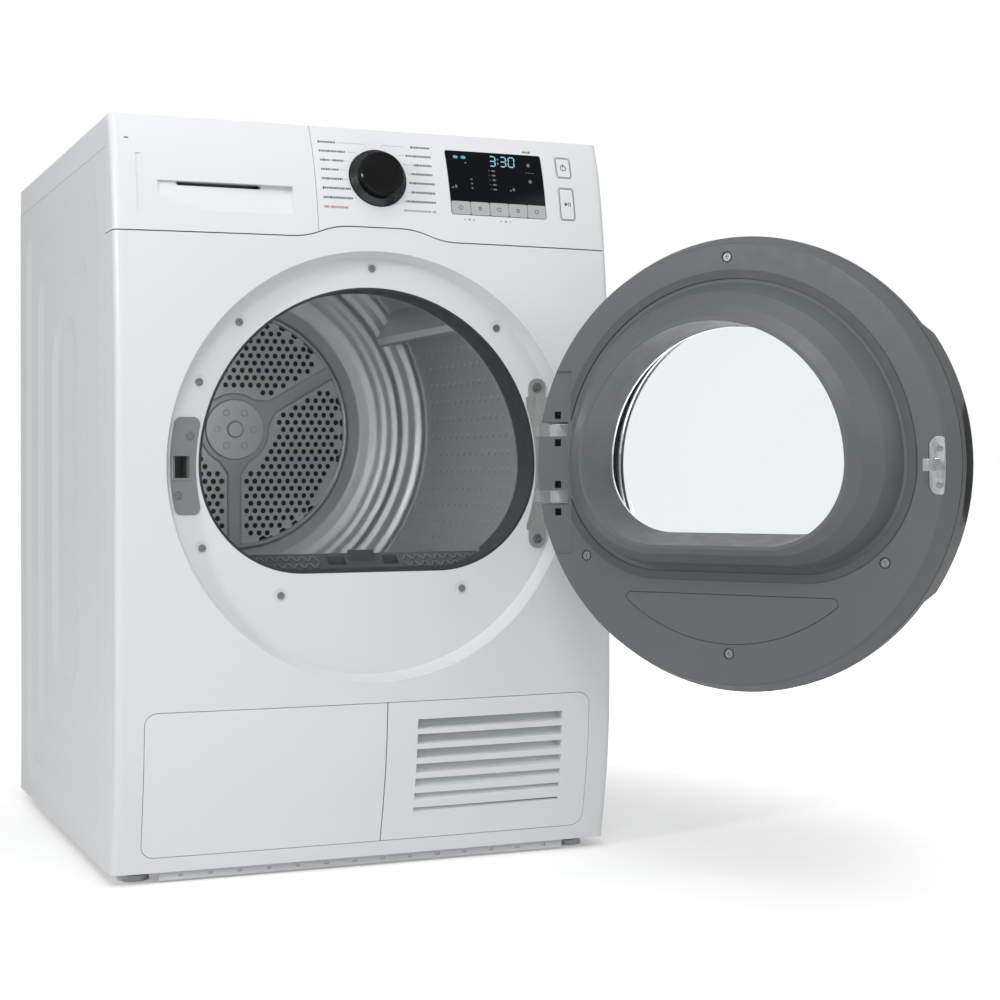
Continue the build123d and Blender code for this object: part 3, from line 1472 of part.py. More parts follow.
LOBE_SLOPE = 40.0
grip_lobe = (-72.0, 12.0, -260, -175, GRIP_SIDE)
hinge_lobe = (-62.0, 21.0, 175, 260, HINGE_LOBE)
with BuildPart() as door_shell:
    add(door_body(0.0, SHELL_EDGE, SHELL_TURN))
    add(lobe(0.0, *grip_lobe))
    add(lobe(0.0, *hinge_lobe))
    add(door_body(SHELL, SHELL_EDGE, SHELL_TURN), mode=Mode.SUBTRACT)
    add(lobe(SHELL, *hinge_lobe), mode=Mode.SUBTRACT)
    rod(0, MIDDLE, -120, -60, PANE_SEAT, mode=Mode.SUBTRACT)
    # ledge under the outer pane
    turned(
        (
            (DOOR_FRONT + 2, 172),
            (-68, 172),
            (-68, PANE_SEAT - 4),
            (-71, PANE_SEAT - 4),
            (-71, 168),
            (DOOR_FRONT + 2, 168),
        ),
        MIDDLE,
    )
    # finger pocket in the grip side
    with BuildSketch(Plane.YZ.offset(-260)):
        with Locations((-62.5, MIDDLE)):
            RectangleRounded(21, 180, 8)
    extrude(amount=24, mode=Mode.SUBTRACT)
    for arm_z in ARMS:
        block(190, 260, -80, 0, arm_z - SLOT_SIDE, arm_z + SLOT_SIDE, mode=Mode.SUBTRACT)
door_placed(door_shell.part, "door_shell")

with BuildPart() as door_outer_pane:
    turned(
        (
            (DOOR_FRONT + 2, 0),
            (DOOR_FRONT + 2, PANE_SEAT - 4),
            (DOOR_FRONT + 4, PANE_SEAT - 0.3),
            (-71.3, PANE_SEAT - 0.3),
            (-71.3, PANE_SEAT - 6),
            (DOOR_FRONT + 6, PANE_SEAT - 8),
            (DOOR_FRONT + 6, 0),
        ),
        MIDDLE,
    )


def outline_at(radius, floor, y):
    with BuildSketch(at_depth(y)) as outline:
        d_outline(radius, floor)
    return outline.sketch


def tapered(near, far, mode=Mode.ADD):
    """Loft between two outlines given as radius, floor and depth."""
    loft([outline_at(*near), outline_at(*far)], mode=mode)


INNER_RIM = 236.0
door_screw_places = (
    (0, MIDDLE + 220.5),
    (0, MIDDLE - 202),
    (172.5, MIDDLE - 101.2),
    (-172.5, MIDDLE - 101.2),
)
HOOK_X = -228.5
HOOK_Z = MIDDLE - 2.5
hook_screw_places = ((HOOK_X - 0.8, HOOK_Z + 17.1), (HOOK_X - 0.8, HOOK_Z - 19.5))
INLAY_TOP = MIDDLE - 139.0
plug_steps = (
    (PLUG_BASE, PLUG_BASE_FLOOR, DOOR_FACE),
    (PLUG_SHOULDER, PLUG_SHOULDER_FLOOR, PLUG_SHOULDER_Y),
    (PLUG_RIM, PLUG_RIM_FLOOR, PLUG_RIM_Y),
    (PLUG_TOP, PLUG_TOP_FLOOR, PLUG_END),
)
with BuildPart() as door_inner:
    turned(
        (
            (DOOR_FACE, 0),
            (DOOR_FACE, INNER_RIM - 2),
            (DOOR_FACE - 2, INNER_RIM),
            (DOOR_RIM + 1, DOOR - 0.4),
            (DOOR_RIM, DOOR - 0.4),
            (DOOR_RIM, DOOR - 3),
            (DOOR_FACE - INNER_PLATE, INNER_RIM - 3),
            (DOOR_FACE - INNER_PLATE, 0),
        ),
        MIDDLE,
    )
    for near, far in zip(plug_steps, plug_steps[1:]):
        tapered(near, far)
    hollow = [(radius - PLUG_WALL, floor + PLUG_WALL, y) for radius, floor, y in plug_steps[:-1]]
    hollow[0] = (hollow[0][0], hollow[0][1], DOOR_FACE - INNER_PLATE - 1)
    for near, far in zip(hollow, hollow[1:]):
        tapered(near, far, mode=Mode.SUBTRACT)
    tapered(
        (WELL + PLUG_WALL, WELL_FLOOR - PLUG_WALL, WELL_BACK),
        (WELL_MOUTH + PLUG_WALL, WELL_MOUTH_FLOOR - PLUG_WALL, PLUG_END - 3),
    )
    tapered(
        (WELL, WELL_FLOOR, WELL_BACK - 1),
        (WELL_MOUTH, WELL_MOUTH_FLOOR, PLUG_END + 1),
        mode=Mode.SUBTRACT,
    )
    # pocket for the hinge leaf and slots for the hinge arms
    block(191, 260, DOOR_FACE - 2.2, 0, LEAF_FLOOR - 2, LEAF_TOP + 2, mode=Mode.SUBTRACT)
    for arm_z in ARMS:
        block(197, 260, -60, 0, arm_z - SLOT_SIDE, arm_z + SLOT_SIDE, mode=Mode.SUBTRACT)
    # open pockets above and below each arm
    for pocket_z in (-53, -22, 25, 56):
        block(
            206,
            214,
            DOOR_FACE - 9,
            0,
            MIDDLE + pocket_z - 4,
            MIDDLE + pocket_z + 4,
            mode=Mode.SUBTRACT,
        )
    # seats of the lower inlay, the screws and the hook
    with BuildSketch(at_depth(DOOR_FACE)) as inlay_seat:
        with Locations((0, MIDDLE)):
            Circle(192)
        with Locations((0, INLAY_TOP + 200)):
            Rectangle(500, 400, mode=Mode.SUBTRACT)
        fillet(inlay_seat.vertices(), 6)
    extrude(amount=1.8, mode=Mode.SUBTRACT)
    inlay_outline = inlay_seat.sketch
    for screw_x, screw_z in door_screw_places:
        rod(screw_x, screw_z, DOOR_FACE - 1.8, DOOR_FACE + 1, 6, mode=Mode.SUBTRACT)
    with BuildSketch(at_depth(DOOR_FACE)):
        with Locations((HOOK_X, HOOK_Z)):
            SlotOverall(59.4, 20.4, rotation=90)
    extrude(amount=1.7, mode=Mode.SUBTRACT)
door_placed(door_inner.part, "door_inner")

with BuildPart() as door_inlay:
    extrude(offset(inlay_outline, -0.5), amount=1.7)
    block(-200, 200, DOOR_FACE - 0.2, 0, MIDDLE - 260, INLAY_TOP + 60, mode=Mode.SUBTRACT)
door_placed(door_inlay.part, "door_inlay")

with BuildPart() as door_inner_pane:
    with BuildSketch(at_depth(WELL_BACK + 4)):
        d_outline(WELL - 0.1, WELL_FLOOR + 0.1)
    extrude(amount=4)
door_placed(Compound(children=[door_outer_pane.part, door_inner_pane.part]), "door_panes")

with BuildPart() as door_seal:
    with BuildSketch(at_depth(DOOR_FACE)):
        d_outline(DOOR_SEAL, OPENING_FLOOR - 2.4)
    extrude(amount=-SEAL_LIFT)
    with BuildSketch(at_depth(DOOR_FACE + 5)):
        d_outline(DOOR_SEAL - 9, OPENING_FLOOR + 6.6)
    extrude(amount=10, mode=Mode.SUBTRACT)
    block(191, 260, -40, 0, LEAF_FLOOR - 2, LEAF_TOP + 2, mode=Mode.SUBTRACT)
door_placed(door_seal.part, "door_seal")

door_screws = screw_heads(door_screw_places, DOOR_FACE - 0.2, -1.6)

with BuildPart() as latch_hook:
    with BuildSketch(at_depth(DOOR_FACE - 1.6)):
        with Locations((HOOK_X, HOOK_Z)):
            SlotOverall(59, 20, rotation=90)
        with Locations((0, MIDDLE)):
            Circle(INNER_RIM - 0.6, mode=Mode.INTERSECT)
    extrude(amount=-0.8)
    with BuildSketch(Plane.XY.offset(MIDDLE - 8)):
        with BuildLine():
            Polyline(
                (-228, DOOR_FACE - 1),
                (-228, 2),
                (-226, 5),
                (-219, 5),
                (-219, 0),
                (-224, 0),
                (-224, DOOR_FACE - 1),
                close=True,
            )
        make_face()
    extrude(amount=12)
door_placed(latch_hook.part, "latch_hook")

hook_screws = screw_heads(hook_screw_places, DOOR_FACE, -0.8, 3.3)
door_placed(Compound(children=door_screws.solids() + hook_screws.solids()), "door_screws")

FOOT_LOW = MIDDLE - 22.0
FOOT_HIGH = MIDDLE + 25.0
with BuildPart() as hinge_block:
    gap = ARM_HEIGHT / 2 + 0.5
    rod_floor = ARMS[0] + gap
    rod_top = ARMS[1] - gap
    block(196, HINGE_X, HINGE_Y - 2, HINGE_Y + 2, rod_floor, rod_top)
    with BuildSketch(Plane.XY.offset(rod_floor)):
        with Locations((HINGE_X, HINGE_Y)):
            Circle(5)
    extrude(amount=rod_top - rod_floor)
    with BuildSketch(Plane.XY.offset(rod_floor - 5)):
        with Locations((HINGE_X, HINGE_Y)):
            Circle(PIN)
    extrude(amount=rod_top - rod_floor + 10, mode=Mode.SUBTRACT)
    for foot_z in (FOOT_LOW, FOOT_HIGH):
        block(196, 204, HINGE_Y, DOOR_FACE - INNER_PLATE - 0.2, foot_z - 5, foot_z + 5)

with BuildPart() as hinge_pin:
    with BuildSketch(Plane.XY.offset(ARMS[0] - ARM_HEIGHT / 2 - 3)):
        with Locations((HINGE_X, HINGE_Y)):
            Circle(PIN)
    extrude(amount=ARMS[1] - ARMS[0] + ARM_HEIGHT + 6)
door_placed(Compound(children=[hinge_block.part, hinge_pin.part]), "hinge_block")
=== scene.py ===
"""Looks of a front loading clothes dryer, laid out as an add-on and run as a script."""

import math

import bmesh
import bpy
from mathutils import Matrix, Vector
from mathutils.bvhtree import BVHTree


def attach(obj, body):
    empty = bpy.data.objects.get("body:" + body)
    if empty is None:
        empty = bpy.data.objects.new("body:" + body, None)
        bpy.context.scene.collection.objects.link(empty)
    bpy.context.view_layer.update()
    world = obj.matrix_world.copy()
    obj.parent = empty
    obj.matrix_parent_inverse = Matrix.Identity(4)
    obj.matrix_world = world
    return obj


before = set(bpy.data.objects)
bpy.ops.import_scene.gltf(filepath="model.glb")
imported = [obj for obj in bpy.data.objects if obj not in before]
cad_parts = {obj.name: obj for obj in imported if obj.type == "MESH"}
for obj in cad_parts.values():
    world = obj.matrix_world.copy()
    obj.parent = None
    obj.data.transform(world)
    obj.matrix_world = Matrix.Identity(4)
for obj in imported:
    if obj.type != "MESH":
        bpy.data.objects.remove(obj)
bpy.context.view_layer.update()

bl_info = {
    "name": "Clothes dryer looks",
    "version": (1, 0, 0),
    "blender": (4, 5, 0),
    "location": "View3D > Sidebar > Dryer",
    "description": "Dresses the packed clothes dryer with finishes, fine pieces and a plain studio",
    "category": "Object",
}

MM = 0.001

# the drum's axis and the places of its rear sheet, in metres
DRUM_AXIS = 0.515
DRUM_WALL = 0.2799
SHEET_DEPTH = 0.5862
# past this depth, within SHEET_REACH, the rear wall is painted black: painted shade seen through the holes
SHADE_DEPTH = 0.5873
SHEET_REACH = 0.17
SHEET_THICKNESS = 1.2 * MM
SPOKE_ANGLES = (30, 150, 270)
SPOKE_HALF = 17 * MM

# the finishes' grain
GRAIN_DEPTH = 0.2 * MM
BRUSH_ACROSS = 420.0
BRUSH_ALONG = 1.6
FIN_PITCH = 2.2 * MM


# ------------------------------------------------------------------ node helpers
class Finish:
    """Builds one material node by node."""

    def __init__(self, name):
        self.material = bpy.data.materials.new(name)
        self.material.use_nodes = True
        self.tree = self.material.node_tree
        self.tree.nodes.clear()
        self.output = self.node("ShaderNodeOutputMaterial")
        self.shader = self.node("ShaderNodeBsdfPrincipled")
        self.link(self.shader.outputs["BSDF"], self.output.inputs["Surface"])
        self.place = self.node("ShaderNodeTexCoord").outputs["Object"]

    def node(self, kind, **values):
        made = self.tree.nodes.new(kind)
        for key, value in values.items():
            setattr(made, key, value)
        return made

    def link(self, source, target):
        self.tree.links.new(source, target)

    def stretched(self, scale):
        made = self.node("ShaderNodeMapping")
        made.inputs["Scale"].default_value = scale
        self.link(self.place, made.inputs["Vector"])
        return made.outputs["Vector"]

    def noise(self, scale, detail=3.0, rough=0.5, vector=None):
        made = self.node("ShaderNodeTexNoise")
        made.inputs["Scale"].default_value = scale
        made.inputs["Detail"].default_value = detail
        made.inputs["Roughness"].default_value = rough
        self.link(vector or self.place, made.inputs["Vector"])
        return made.outputs["Fac"]

    def math(self, operation, first, second=None):
        made = self.node("ShaderNodeMath", operation=operation)
        for index, value in enumerate((first, second)):
            if value is None:
                continue
            if isinstance(value, (int, float)):
                made.inputs[index].default_value = value
            else:
                self.link(value, made.inputs[index])
        return made.outputs[0]

    def between(self, value, low, high, out_low=0.0, out_high=1.0, smooth=False):
        made = self.node("ShaderNodeMapRange")
        made.interpolation_type = "SMOOTHSTEP" if smooth else "LINEAR"
        made.inputs["From Min"].default_value = low
        made.inputs["From Max"].default_value = high
        made.inputs["To Min"].default_value = out_low
        made.inputs["To Max"].default_value = out_high
        self.link(value, made.inputs["Value"])
        return made.outputs["Result"]

    def blend(self, share, first, second):
        made = self.node("ShaderNodeMix", data_type="RGBA")
        self.link(share, made.inputs["Factor"])
        for socket, value in ((made.inputs[6], first), (made.inputs[7], second)):
            if isinstance(value, bpy.types.NodeSocket):
                self.link(value, socket)
            else:
                socket.default_value = (*value[:3], 1.0)
        return made.outputs[2]

    def split(self):
        made = self.node("ShaderNodeSeparateXYZ")
        self.link(self.place, made.inputs[0])
        return made.outputs[0], made.outputs[1], made.outputs[2]

    def length(self, first, second):
        squares = (self.math("MULTIPLY", first, first), self.math("MULTIPLY", second, second))
        return self.math("SQRT", self.math("ADD", *squares))

    def bump(self, height, strength, distance, normal=None):
        made = self.node("ShaderNodeBump")
        made.inputs["Strength"].default_value = strength
        made.inputs["Distance"].default_value = distance
        self.link(height, made.inputs["Height"])
        if normal is not None:
            self.link(normal, made.inputs["Normal"])
        return made.outputs["Normal"]

    def soft_edge(self, radius):
        made = self.node("ShaderNodeBevel", samples=4)
        made.inputs["Radius"].default_value = radius
        return made.outputs["Normal"]

    def use(self, socket, value):
        target = self.shader.inputs[socket]
        if isinstance(value, bpy.types.NodeSocket):
            self.link(value, target)
        elif isinstance(value, (int, float)):
            target.default_value = value
        else:
            target.default_value = (*value[:3], 1.0)


def shade(colour, factor):
    return tuple(min(1.0, c * factor) for c in colour[:3])


def moulded(name, colour, rough=0.4, metal=0.0, grain=900.0, depth=0.12, mottle=0.03,
            edge=0.9 * MM, coat=0.0, spread=0.07, sheen=0.0, specular=0.5):
    """Painted, moulded or cast surface: faint colour drift, uneven gloss, fine grain, soft edges."""
    made = Finish(name)
    drift = made.noise(7.0, 2.0)
    made.use("Base Color", made.blend(drift, shade(colour, 1 - mottle), shade(colour, 1 + mottle)))
    gloss = made.noise(60.0, 4.0)
    made.use("Roughness", made.between(gloss, 0.3, 0.7, max(0.02, rough - spread), rough + spread))
    made.use("Metallic", metal)
    made.use("Specular IOR Level", specular)
    if coat:
        made.use("Coat Weight", coat)
        made.use("Coat Roughness", 0.08)
    if sheen:
        made.use("Sheen Weight", sheen)
    fine = made.noise(grain, 2.0)
    made.use("Normal", made.bump(fine, depth, GRAIN_DEPTH, made.soft_edge(edge)))
    return made.material


def brushed(name, colour, rough, along, grain=260.0, metal=1.0, edge=0.6 * MM):
    """Metal with fine lines: along is the stretch of the lines on each axis."""
    made = Finish(name)
    lines = made.noise(grain, 4.0, 0.6, made.stretched(along))
    made.use("Base Color", made.blend(lines, shade(colour, 0.86), shade(colour, 1.1)))
    made.use("Roughness", made.between(lines, 0.3, 0.7, rough - 0.08, rough + 0.1))
    made.use("Metallic", metal)
    made.use("Normal", made.bump(lines, 0.15, GRAIN_DEPTH, made.soft_edge(edge)))
    return made.material


def drum_steel(name, colour, shade_from_depth=None, edge=0.8 * MM):
    """Drum sheet, brushed round its axis. Past a given depth and within the reach of the holes it is painted
    black and not metallic: painted shade, as seen behind the holes.
    """
    made = Finish(name)
    x, y, z = made.split()
    height = made.math("SUBTRACT", z, DRUM_AXIS)
    radius = made.length(x, height)
    angle = made.math("ARCTAN2", height, x)
    rings = made.node("ShaderNodeCombineXYZ")
    made.link(made.math("MULTIPLY", radius, BRUSH_ACROSS), rings.inputs[0])
    made.link(made.math("MULTIPLY", y, BRUSH_ACROSS), rings.inputs[1])
    made.link(made.math("MULTIPLY", angle, BRUSH_ALONG), rings.inputs[2])
    lines = made.noise(1.0, 4.0, 0.65, rings.outputs[0])
    cloudy = made.noise(9.0, 3.0)
    tone = made.math("ADD", made.math("MULTIPLY", lines, 0.5), made.math("MULTIPLY", cloudy, 0.5))
    base = made.blend(tone, shade(colour, 0.8), shade(colour, 1.18))
    # painted shade: black and not metallic behind the perforated sheet, where the holes show the dark inside
    if shade_from_depth:
        shade_behind_holes = made.math("MULTIPLY", made.math("GREATER_THAN", y, shade_from_depth),
                           made.math("LESS_THAN", radius, SHEET_REACH))
        base = made.blend(shade_behind_holes, base, (0.002, 0.002, 0.002))
    made.use("Base Color", base)
    made.use("Roughness", made.between(tone, 0.3, 0.7, 0.34, 0.5))
    if shade_from_depth:
        made.use("Metallic", made.math("MULTIPLY", 0.8, made.math("SUBTRACT", 1.0, shade_behind_holes)))
    else:
        made.use("Metallic", 0.8)
    made.use("Normal", made.bump(lines, 0.12, GRAIN_DEPTH, made.soft_edge(edge)))
    return made.material


def clear_pane(name):
    made = Finish(name)
    smear = made.noise(14.0, 3.0)
    made.use("Base Color", made.blend(smear, (0.915, 0.935, 0.94), (0.925, 0.945, 0.95)))
    made.use("Roughness", made.between(smear, 0.3, 0.7, 0.0, 0.03))
    made.use("Transmission Weight", 1.0)
    made.use("IOR", 1.1)
    made.use("Normal", made.bump(made.noise(6.0, 1.0), 0.02, 1.0 * MM))
    return made.material


def lit_segments(name, colour, strength):
    made = Finish(name)
    glow = made.noise(500.0, 1.0)
    made.use("Base Color", (0.01, 0.02, 0.02))
    made.use("Emission Color", made.blend(glow, shade(colour, 0.92), colour))
    made.use("Emission Strength", strength)
    made.use("Roughness", 0.4)
    return made.material


def finned(name, colour):
    made = Finish(name)
    x, _, _ = made.split()
    fins_and_shade = made.math("SINE", made.math("MULTIPLY", x, 2 * math.pi / FIN_PITCH))
    # painted shade: the colour falls to 35 per cent in the gaps between the fins and is full on their crests
    made.use("Base Color", made.blend(made.between(fins_and_shade, -1, 1), shade(colour, 0.35), colour))
    made.use("Metallic", 1.0)
    made.use("Roughness", made.between(made.noise(80.0), 0.3, 0.7, 0.3, 0.45))
    made.use("Normal", made.bump(fins_and_shade, 0.6, 0.6 * MM))
    return made.material


# ------------------------------------------------------------------ properties
def tone(label, words, value):
    return bpy.props.FloatVectorProperty(
        name=label, description=words, default=value, size=3, min=0.0, max=1.0, subtype="COLOR"
    )


def length(label, words, value):
    return bpy.props.FloatProperty(name=label, description=words, default=value, unit="LENGTH")


class DryerFinishes(bpy.types.PropertyGroup):
    """Colours of the dryer's finishes."""

    body_white: tone("Body white", "Painted steel of the cabinet", (0.80, 0.825, 0.835))
    fascia_white: tone("Fascia white", "Moulded white of the control panel and covers", (0.82, 0.845, 0.855))
    door_grey: tone("Door grey", "Moulded inner cover of the door", (0.128, 0.142, 0.145))
    shell_grey: tone("Shell grey", "Outer shell of the door", (0.085, 0.09, 0.093))
    latch_grey: tone("Latch grey", "Latch plate beside the opening", (0.25, 0.265, 0.265))
    seal_black: tone("Seal black", "Seal round the opening", (0.028, 0.032, 0.033))
    door_seal: tone("Door seal", "Flat seal on the door", (0.085, 0.097, 0.1))
    ink: tone("Ink", "Printed marks of the fascia", (0.11, 0.115, 0.12))
    steel: tone("Drum steel", "Stainless sheet of the drum", (0.50, 0.52, 0.525))
    display: tone("Display black", "Display window", (0.004, 0.005, 0.006))
    digits: tone("Digits", "Lit segments of the display", (0.35, 0.75, 0.9))
    key_grey: tone("Key grey", "Row of option keys", (0.47, 0.49, 0.49))
    foot_grey: tone("Foot grey", "Base, kick strip and feet", (0.68, 0.70, 0.705))


class DryerSizes(bpy.types.PropertyGroup):
    """Sizes of the fine pieces."""

    hole_pitch: length("Hole pitch", "Distance between holes of the drum's rear wall", 12.4 * MM)
    hole_radius: length("Hole radius", "Radius of those holes", 3.9 * MM)
    inner_ring: length("Inner ring", "Radius where the holes begin", 61 * MM)
    outer_ring: length("Outer ring", "Radius where the holes end", 159.5 * MM)


def finishes():
    return bpy.context.scene.dryer_finishes


def sizes():
    return bpy.context.scene.dryer_sizes


# ------------------------------------------------------------------ mesh helpers
def clear_selection():
    if bpy.context.object and bpy.context.object.mode != "OBJECT":
        bpy.ops.object.mode_set(mode="OBJECT")
    bpy.ops.object.select_all(action="DESELECT")


def settle(piece, name, body, material, smooth=30):
    """Applies the piece's place to its mesh, names it, and puts it on its body."""
    clear_selection()
    piece.select_set(True)
    bpy.context.view_layer.objects.active = piece
    bpy.ops.object.transform_apply(location=True, rotation=True, scale=True)
    piece.name = name
    piece.data.name = name
    piece.data.materials.clear()
    piece.data.materials.append(material)
    bpy.ops.object.shade_smooth_by_angle(angle=math.radians(smooth))
    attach(piece, body)


def dress(nodes, material):
    for name in nodes:
        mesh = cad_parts[name].data
        mesh.materials.clear()
        mesh.materials.append(material)


def smooth_nodes(angle=28):
    clear_selection()
    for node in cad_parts.values():
        node.select_set(True)
        bpy.context.view_layer.objects.active = node
    bpy.ops.object.shade_smooth_by_angle(angle=math.radians(angle))
    clear_selection()


# ------------------------------------------------------------------ operators
class DRYER_OT_cabinet(bpy.types.Operator):
    """Finishes the sheet steel cabinet, the base and the feet"""

    bl_idname = "dryer.cabinet"
    bl_label = "Cabinet"

    def execute(self, context):
        tones = finishes()
        smooth_nodes()
        paint = moulded("white_enamel", tones.body_white, rough=0.34, grain=420.0, depth=0.012,
                         mottle=0.006, spread=0.03, edge=0.4 * MM)
        plastic = moulded("white_moulding", tones.fascia_white, rough=0.38, grain=700.0, depth=0.015,
                           mottle=0.006, spread=0.03, edge=0.4 * MM)
        dress(("front_panel", "side_panel_left", "side_panel_right"), paint)
        dress(("top_plate", "control_fascia", "tank_drawer_front", "service_cover", "intake_grille",
               "power_button", "start_button"), plastic)
        dress(("front_bulkhead",), moulded("bulkhead_grey", (0.16, 0.17, 0.17), rough=0.5))
        dress(("rear_panel", "rear_bulkhead"),
              brushed("zinc_sheet", (0.62, 0.64, 0.65), 0.42, (1, 1, 0.15), 60.0))
        dress(("base_pan",), moulded("base_grey", tones.foot_grey, rough=0.55, grain=600.0, depth=0.2))
        # painted light: the feet are a lighter copy of the base grey, 1.35 of it, against the shade under the
        # cabinet
        painted_light_foot_grey = shade(tones.foot_grey, 1.35)
        dress(("feet",), moulded("foot_white", painted_light_foot_grey, rough=0.55, grain=600.0, depth=0.2))
        return {"FINISHED"}


class DRYER_OT_controls(bpy.types.Operator):
    """Finishes the knob, the display and the keys"""

    bl_idname = "dryer.controls"
    bl_label = "Controls"

    def execute(self, context):
        tones = finishes()
        dress(("knob_cap",), moulded("knob_black", (0.004, 0.0045, 0.005), rough=0.16,
                                      depth=0.01, specular=0.25))
        dress(("knob_skirt",), brushed("knob_bevel", (0.06, 0.063, 0.065), 0.26, (1, 1, 1), 300.0, metal=0.9))
        dress(("display_window",), moulded("display_black", tones.display, rough=0.12, depth=0.0, spread=0.03,
                                           edge=0.5 * MM, specular=0.12))
        keys = ["option_key_" + str(index) for index in range(1, 6)]
        dress(keys, moulded("key_grey", tones.key_grey, rough=0.35, depth=0.05, edge=0.6 * MM))
        dress(("interface_board",), moulded("board_green", (0.02, 0.12, 0.05), rough=0.5))
        return {"FINISHED"}


class DRYER_OT_drum(bpy.types.Operator):
    """Finishes the drum, its rear wall and its lifters"""

    bl_idname = "dryer.drum"
    bl_label = "Drum"

    def execute(self, context):
        tones = finishes()
        dress(("drum_cylinder",), drum_steel("drum_sheet", tones.steel))
        # painted shade: the rear wall is a darker copy of the drum steel, 0.82 of it, besides the black
        # behind its holes
        dress(("drum_rear",), drum_steel("drum_back_painted_shade", shade(tones.steel, 0.82), SHADE_DEPTH, edge=6 * MM))
        # painted light: lifters and hub are a lighter copy of the drum steel, 1.05 of it
        dress(("drum_lifters", "hub_disc"), drum_steel("drum_fittings_painted_light", shade(tones.steel, 1.05)))
        felt = moulded("felt", (0.3, 0.3, 0.3), rough=0.95, grain=1500.0, depth=0.8, sheen=0.4)
        dress(("drum_felt",), felt)
        return {"FINISHED"}


class DRYER_OT_opening(bpy.types.Operator):
    """Finishes the seal, the lint filter, the latch plate and the screws"""

    bl_idname = "dryer.opening"
    bl_label = "Opening"

    def execute(self, context):
        tones = finishes()
        rubber = moulded("black_rubber", tones.seal_black, rough=0.55, grain=1200.0, depth=0.2)
        dress(("opening_seal", "drive_belt", "roller_left", "roller_right", "cord_gland"), rubber)
        dress(("door_seal",), moulded("grey_rubber", tones.door_seal, rough=0.5, grain=1200.0, depth=0.1))
        dress(("latch",), moulded("latch_grey", tones.latch_grey, rough=0.45, depth=0.2))
        dress(("filter_frame",), moulded("filter_plastic", (0.07, 0.075, 0.08), rough=0.4))
        gauze = moulded("filter_gauze", (0.05, 0.055, 0.06), rough=0.8, grain=2500.0, depth=0.9)
        dress(("filter_mesh",), gauze)
        hinge = brushed("hinge_metal", (0.56, 0.57, 0.575), 0.34, (1, 1, 0.3), 200.0, metal=0.7)
        dress(("hinge_bracket",), hinge)
        screw = brushed("screw_steel", (0.33, 0.34, 0.345), 0.3, (1, 1, 1), 300.0)
        dress(("cabinet_screws", "door_screws"), screw)
        dress(("hinge_block", "latch_hook", "motor_rotor", "drive_supports", "idler_pulley"),
              brushed("bright_steel", (0.72, 0.73, 0.74), 0.2, (1, 1, 0.3), 200.0))
        return {"FINISHED"}


class DRYER_OT_door(bpy.types.Operator):
    """Finishes the door"""

    bl_idname = "dryer.door"
    bl_label = "Door"

    def execute(self, context):
        tones = finishes()
        grey = moulded("door_moulding", tones.door_grey, rough=0.42, grain=800.0, depth=0.12, edge=1.4 * MM)
        dress(("door_inner", "door_inlay"), grey)
        dress(("door_shell",), moulded("door_shell", tones.shell_grey, rough=0.3, depth=0.02, edge=1.5 * MM,
                                      specular=0.3))
        dress(("door_panes",), clear_pane("clear_pane"))
        return {"FINISHED"}


class DRYER_OT_inside(bpy.types.Operator):
    """Finishes the drive, the heat pump, the tank and the electronics"""

    bl_idname = "dryer.inside"
    bl_label = "Inside"

    def execute(self, context):
        dress(("water_tank", "tank_tray"), moulded("tank_plastic", (0.6, 0.63, 0.66), rough=0.3))
        dress(("main_board_box", "fan_wheel", "fan_housing", "condensate_pump", "drain_spigot"),
              moulded("grey_moulding", (0.24, 0.25, 0.26), rough=0.5))
        dress(("motor_body",), moulded("motor_iron", (0.2, 0.21, 0.22), rough=0.55, metal=0.8, depth=0.4))
        dress(("heat_exchangers",), finned("exchanger_fins", (0.7, 0.71, 0.72)))
        dress(("compressor",), moulded("compressor_black", (0.02, 0.02, 0.022), rough=0.4, coat=0.3))
        return {"FINISHED"}


HOLE_CORNERS = 12
# the plain cells reach this far past the holes on the inner and outer side
INNER_MARGIN = 16 * MM
OUTER_MARGIN = 7 * MM


def hexagon_reach(direction, pitch):
    """Distance from the middle of a six-sided cell to its edge in one direction."""
    sector = (math.atan2(direction.y, direction.x) + math.pi / 6) % (math.pi / 3) - math.pi / 6
    return (pitch / 2) / math.cos(sector)


def cell_plate():
    """One six-sided plate cell with a round hole."""
    wide = sizes()
    clear_selection()
    bpy.ops.mesh.primitive_circle_add(
        vertices=HOLE_CORNERS, radius=wide.hole_radius, fill_type="NOTHING", location=(0, 0, 0)
    )
    cell = bpy.context.object
    bpy.ops.object.mode_set(mode="EDIT")
    bpy.ops.mesh.select_all(action="SELECT")
    bpy.ops.mesh.extrude_edges_move()
    mesh = bmesh.from_edit_mesh(cell.data)
    for vertex in [vertex for vertex in mesh.verts if vertex.select]:
        direction = Vector((vertex.co.x, vertex.co.y, 0)).normalized()
        vertex.co = direction * hexagon_reach(direction, wide.hole_pitch)
    bmesh.update_edit_mesh(cell.data)
    bpy.ops.object.mode_set(mode="OBJECT")
    return cell


def blind_plate():
    """The same six-sided cell without its hole."""
    wide = sizes()
    clear_selection()
    bpy.ops.mesh.primitive_circle_add(
        vertices=HOLE_CORNERS, radius=wide.hole_pitch / 2, fill_type="NGON", location=(0, 0, 0)
    )
    cell = bpy.context.object
    for vertex in cell.data.vertices:
        direction = vertex.co.normalized()
        vertex.co = direction * hexagon_reach(direction, wide.hole_pitch)
    return cell


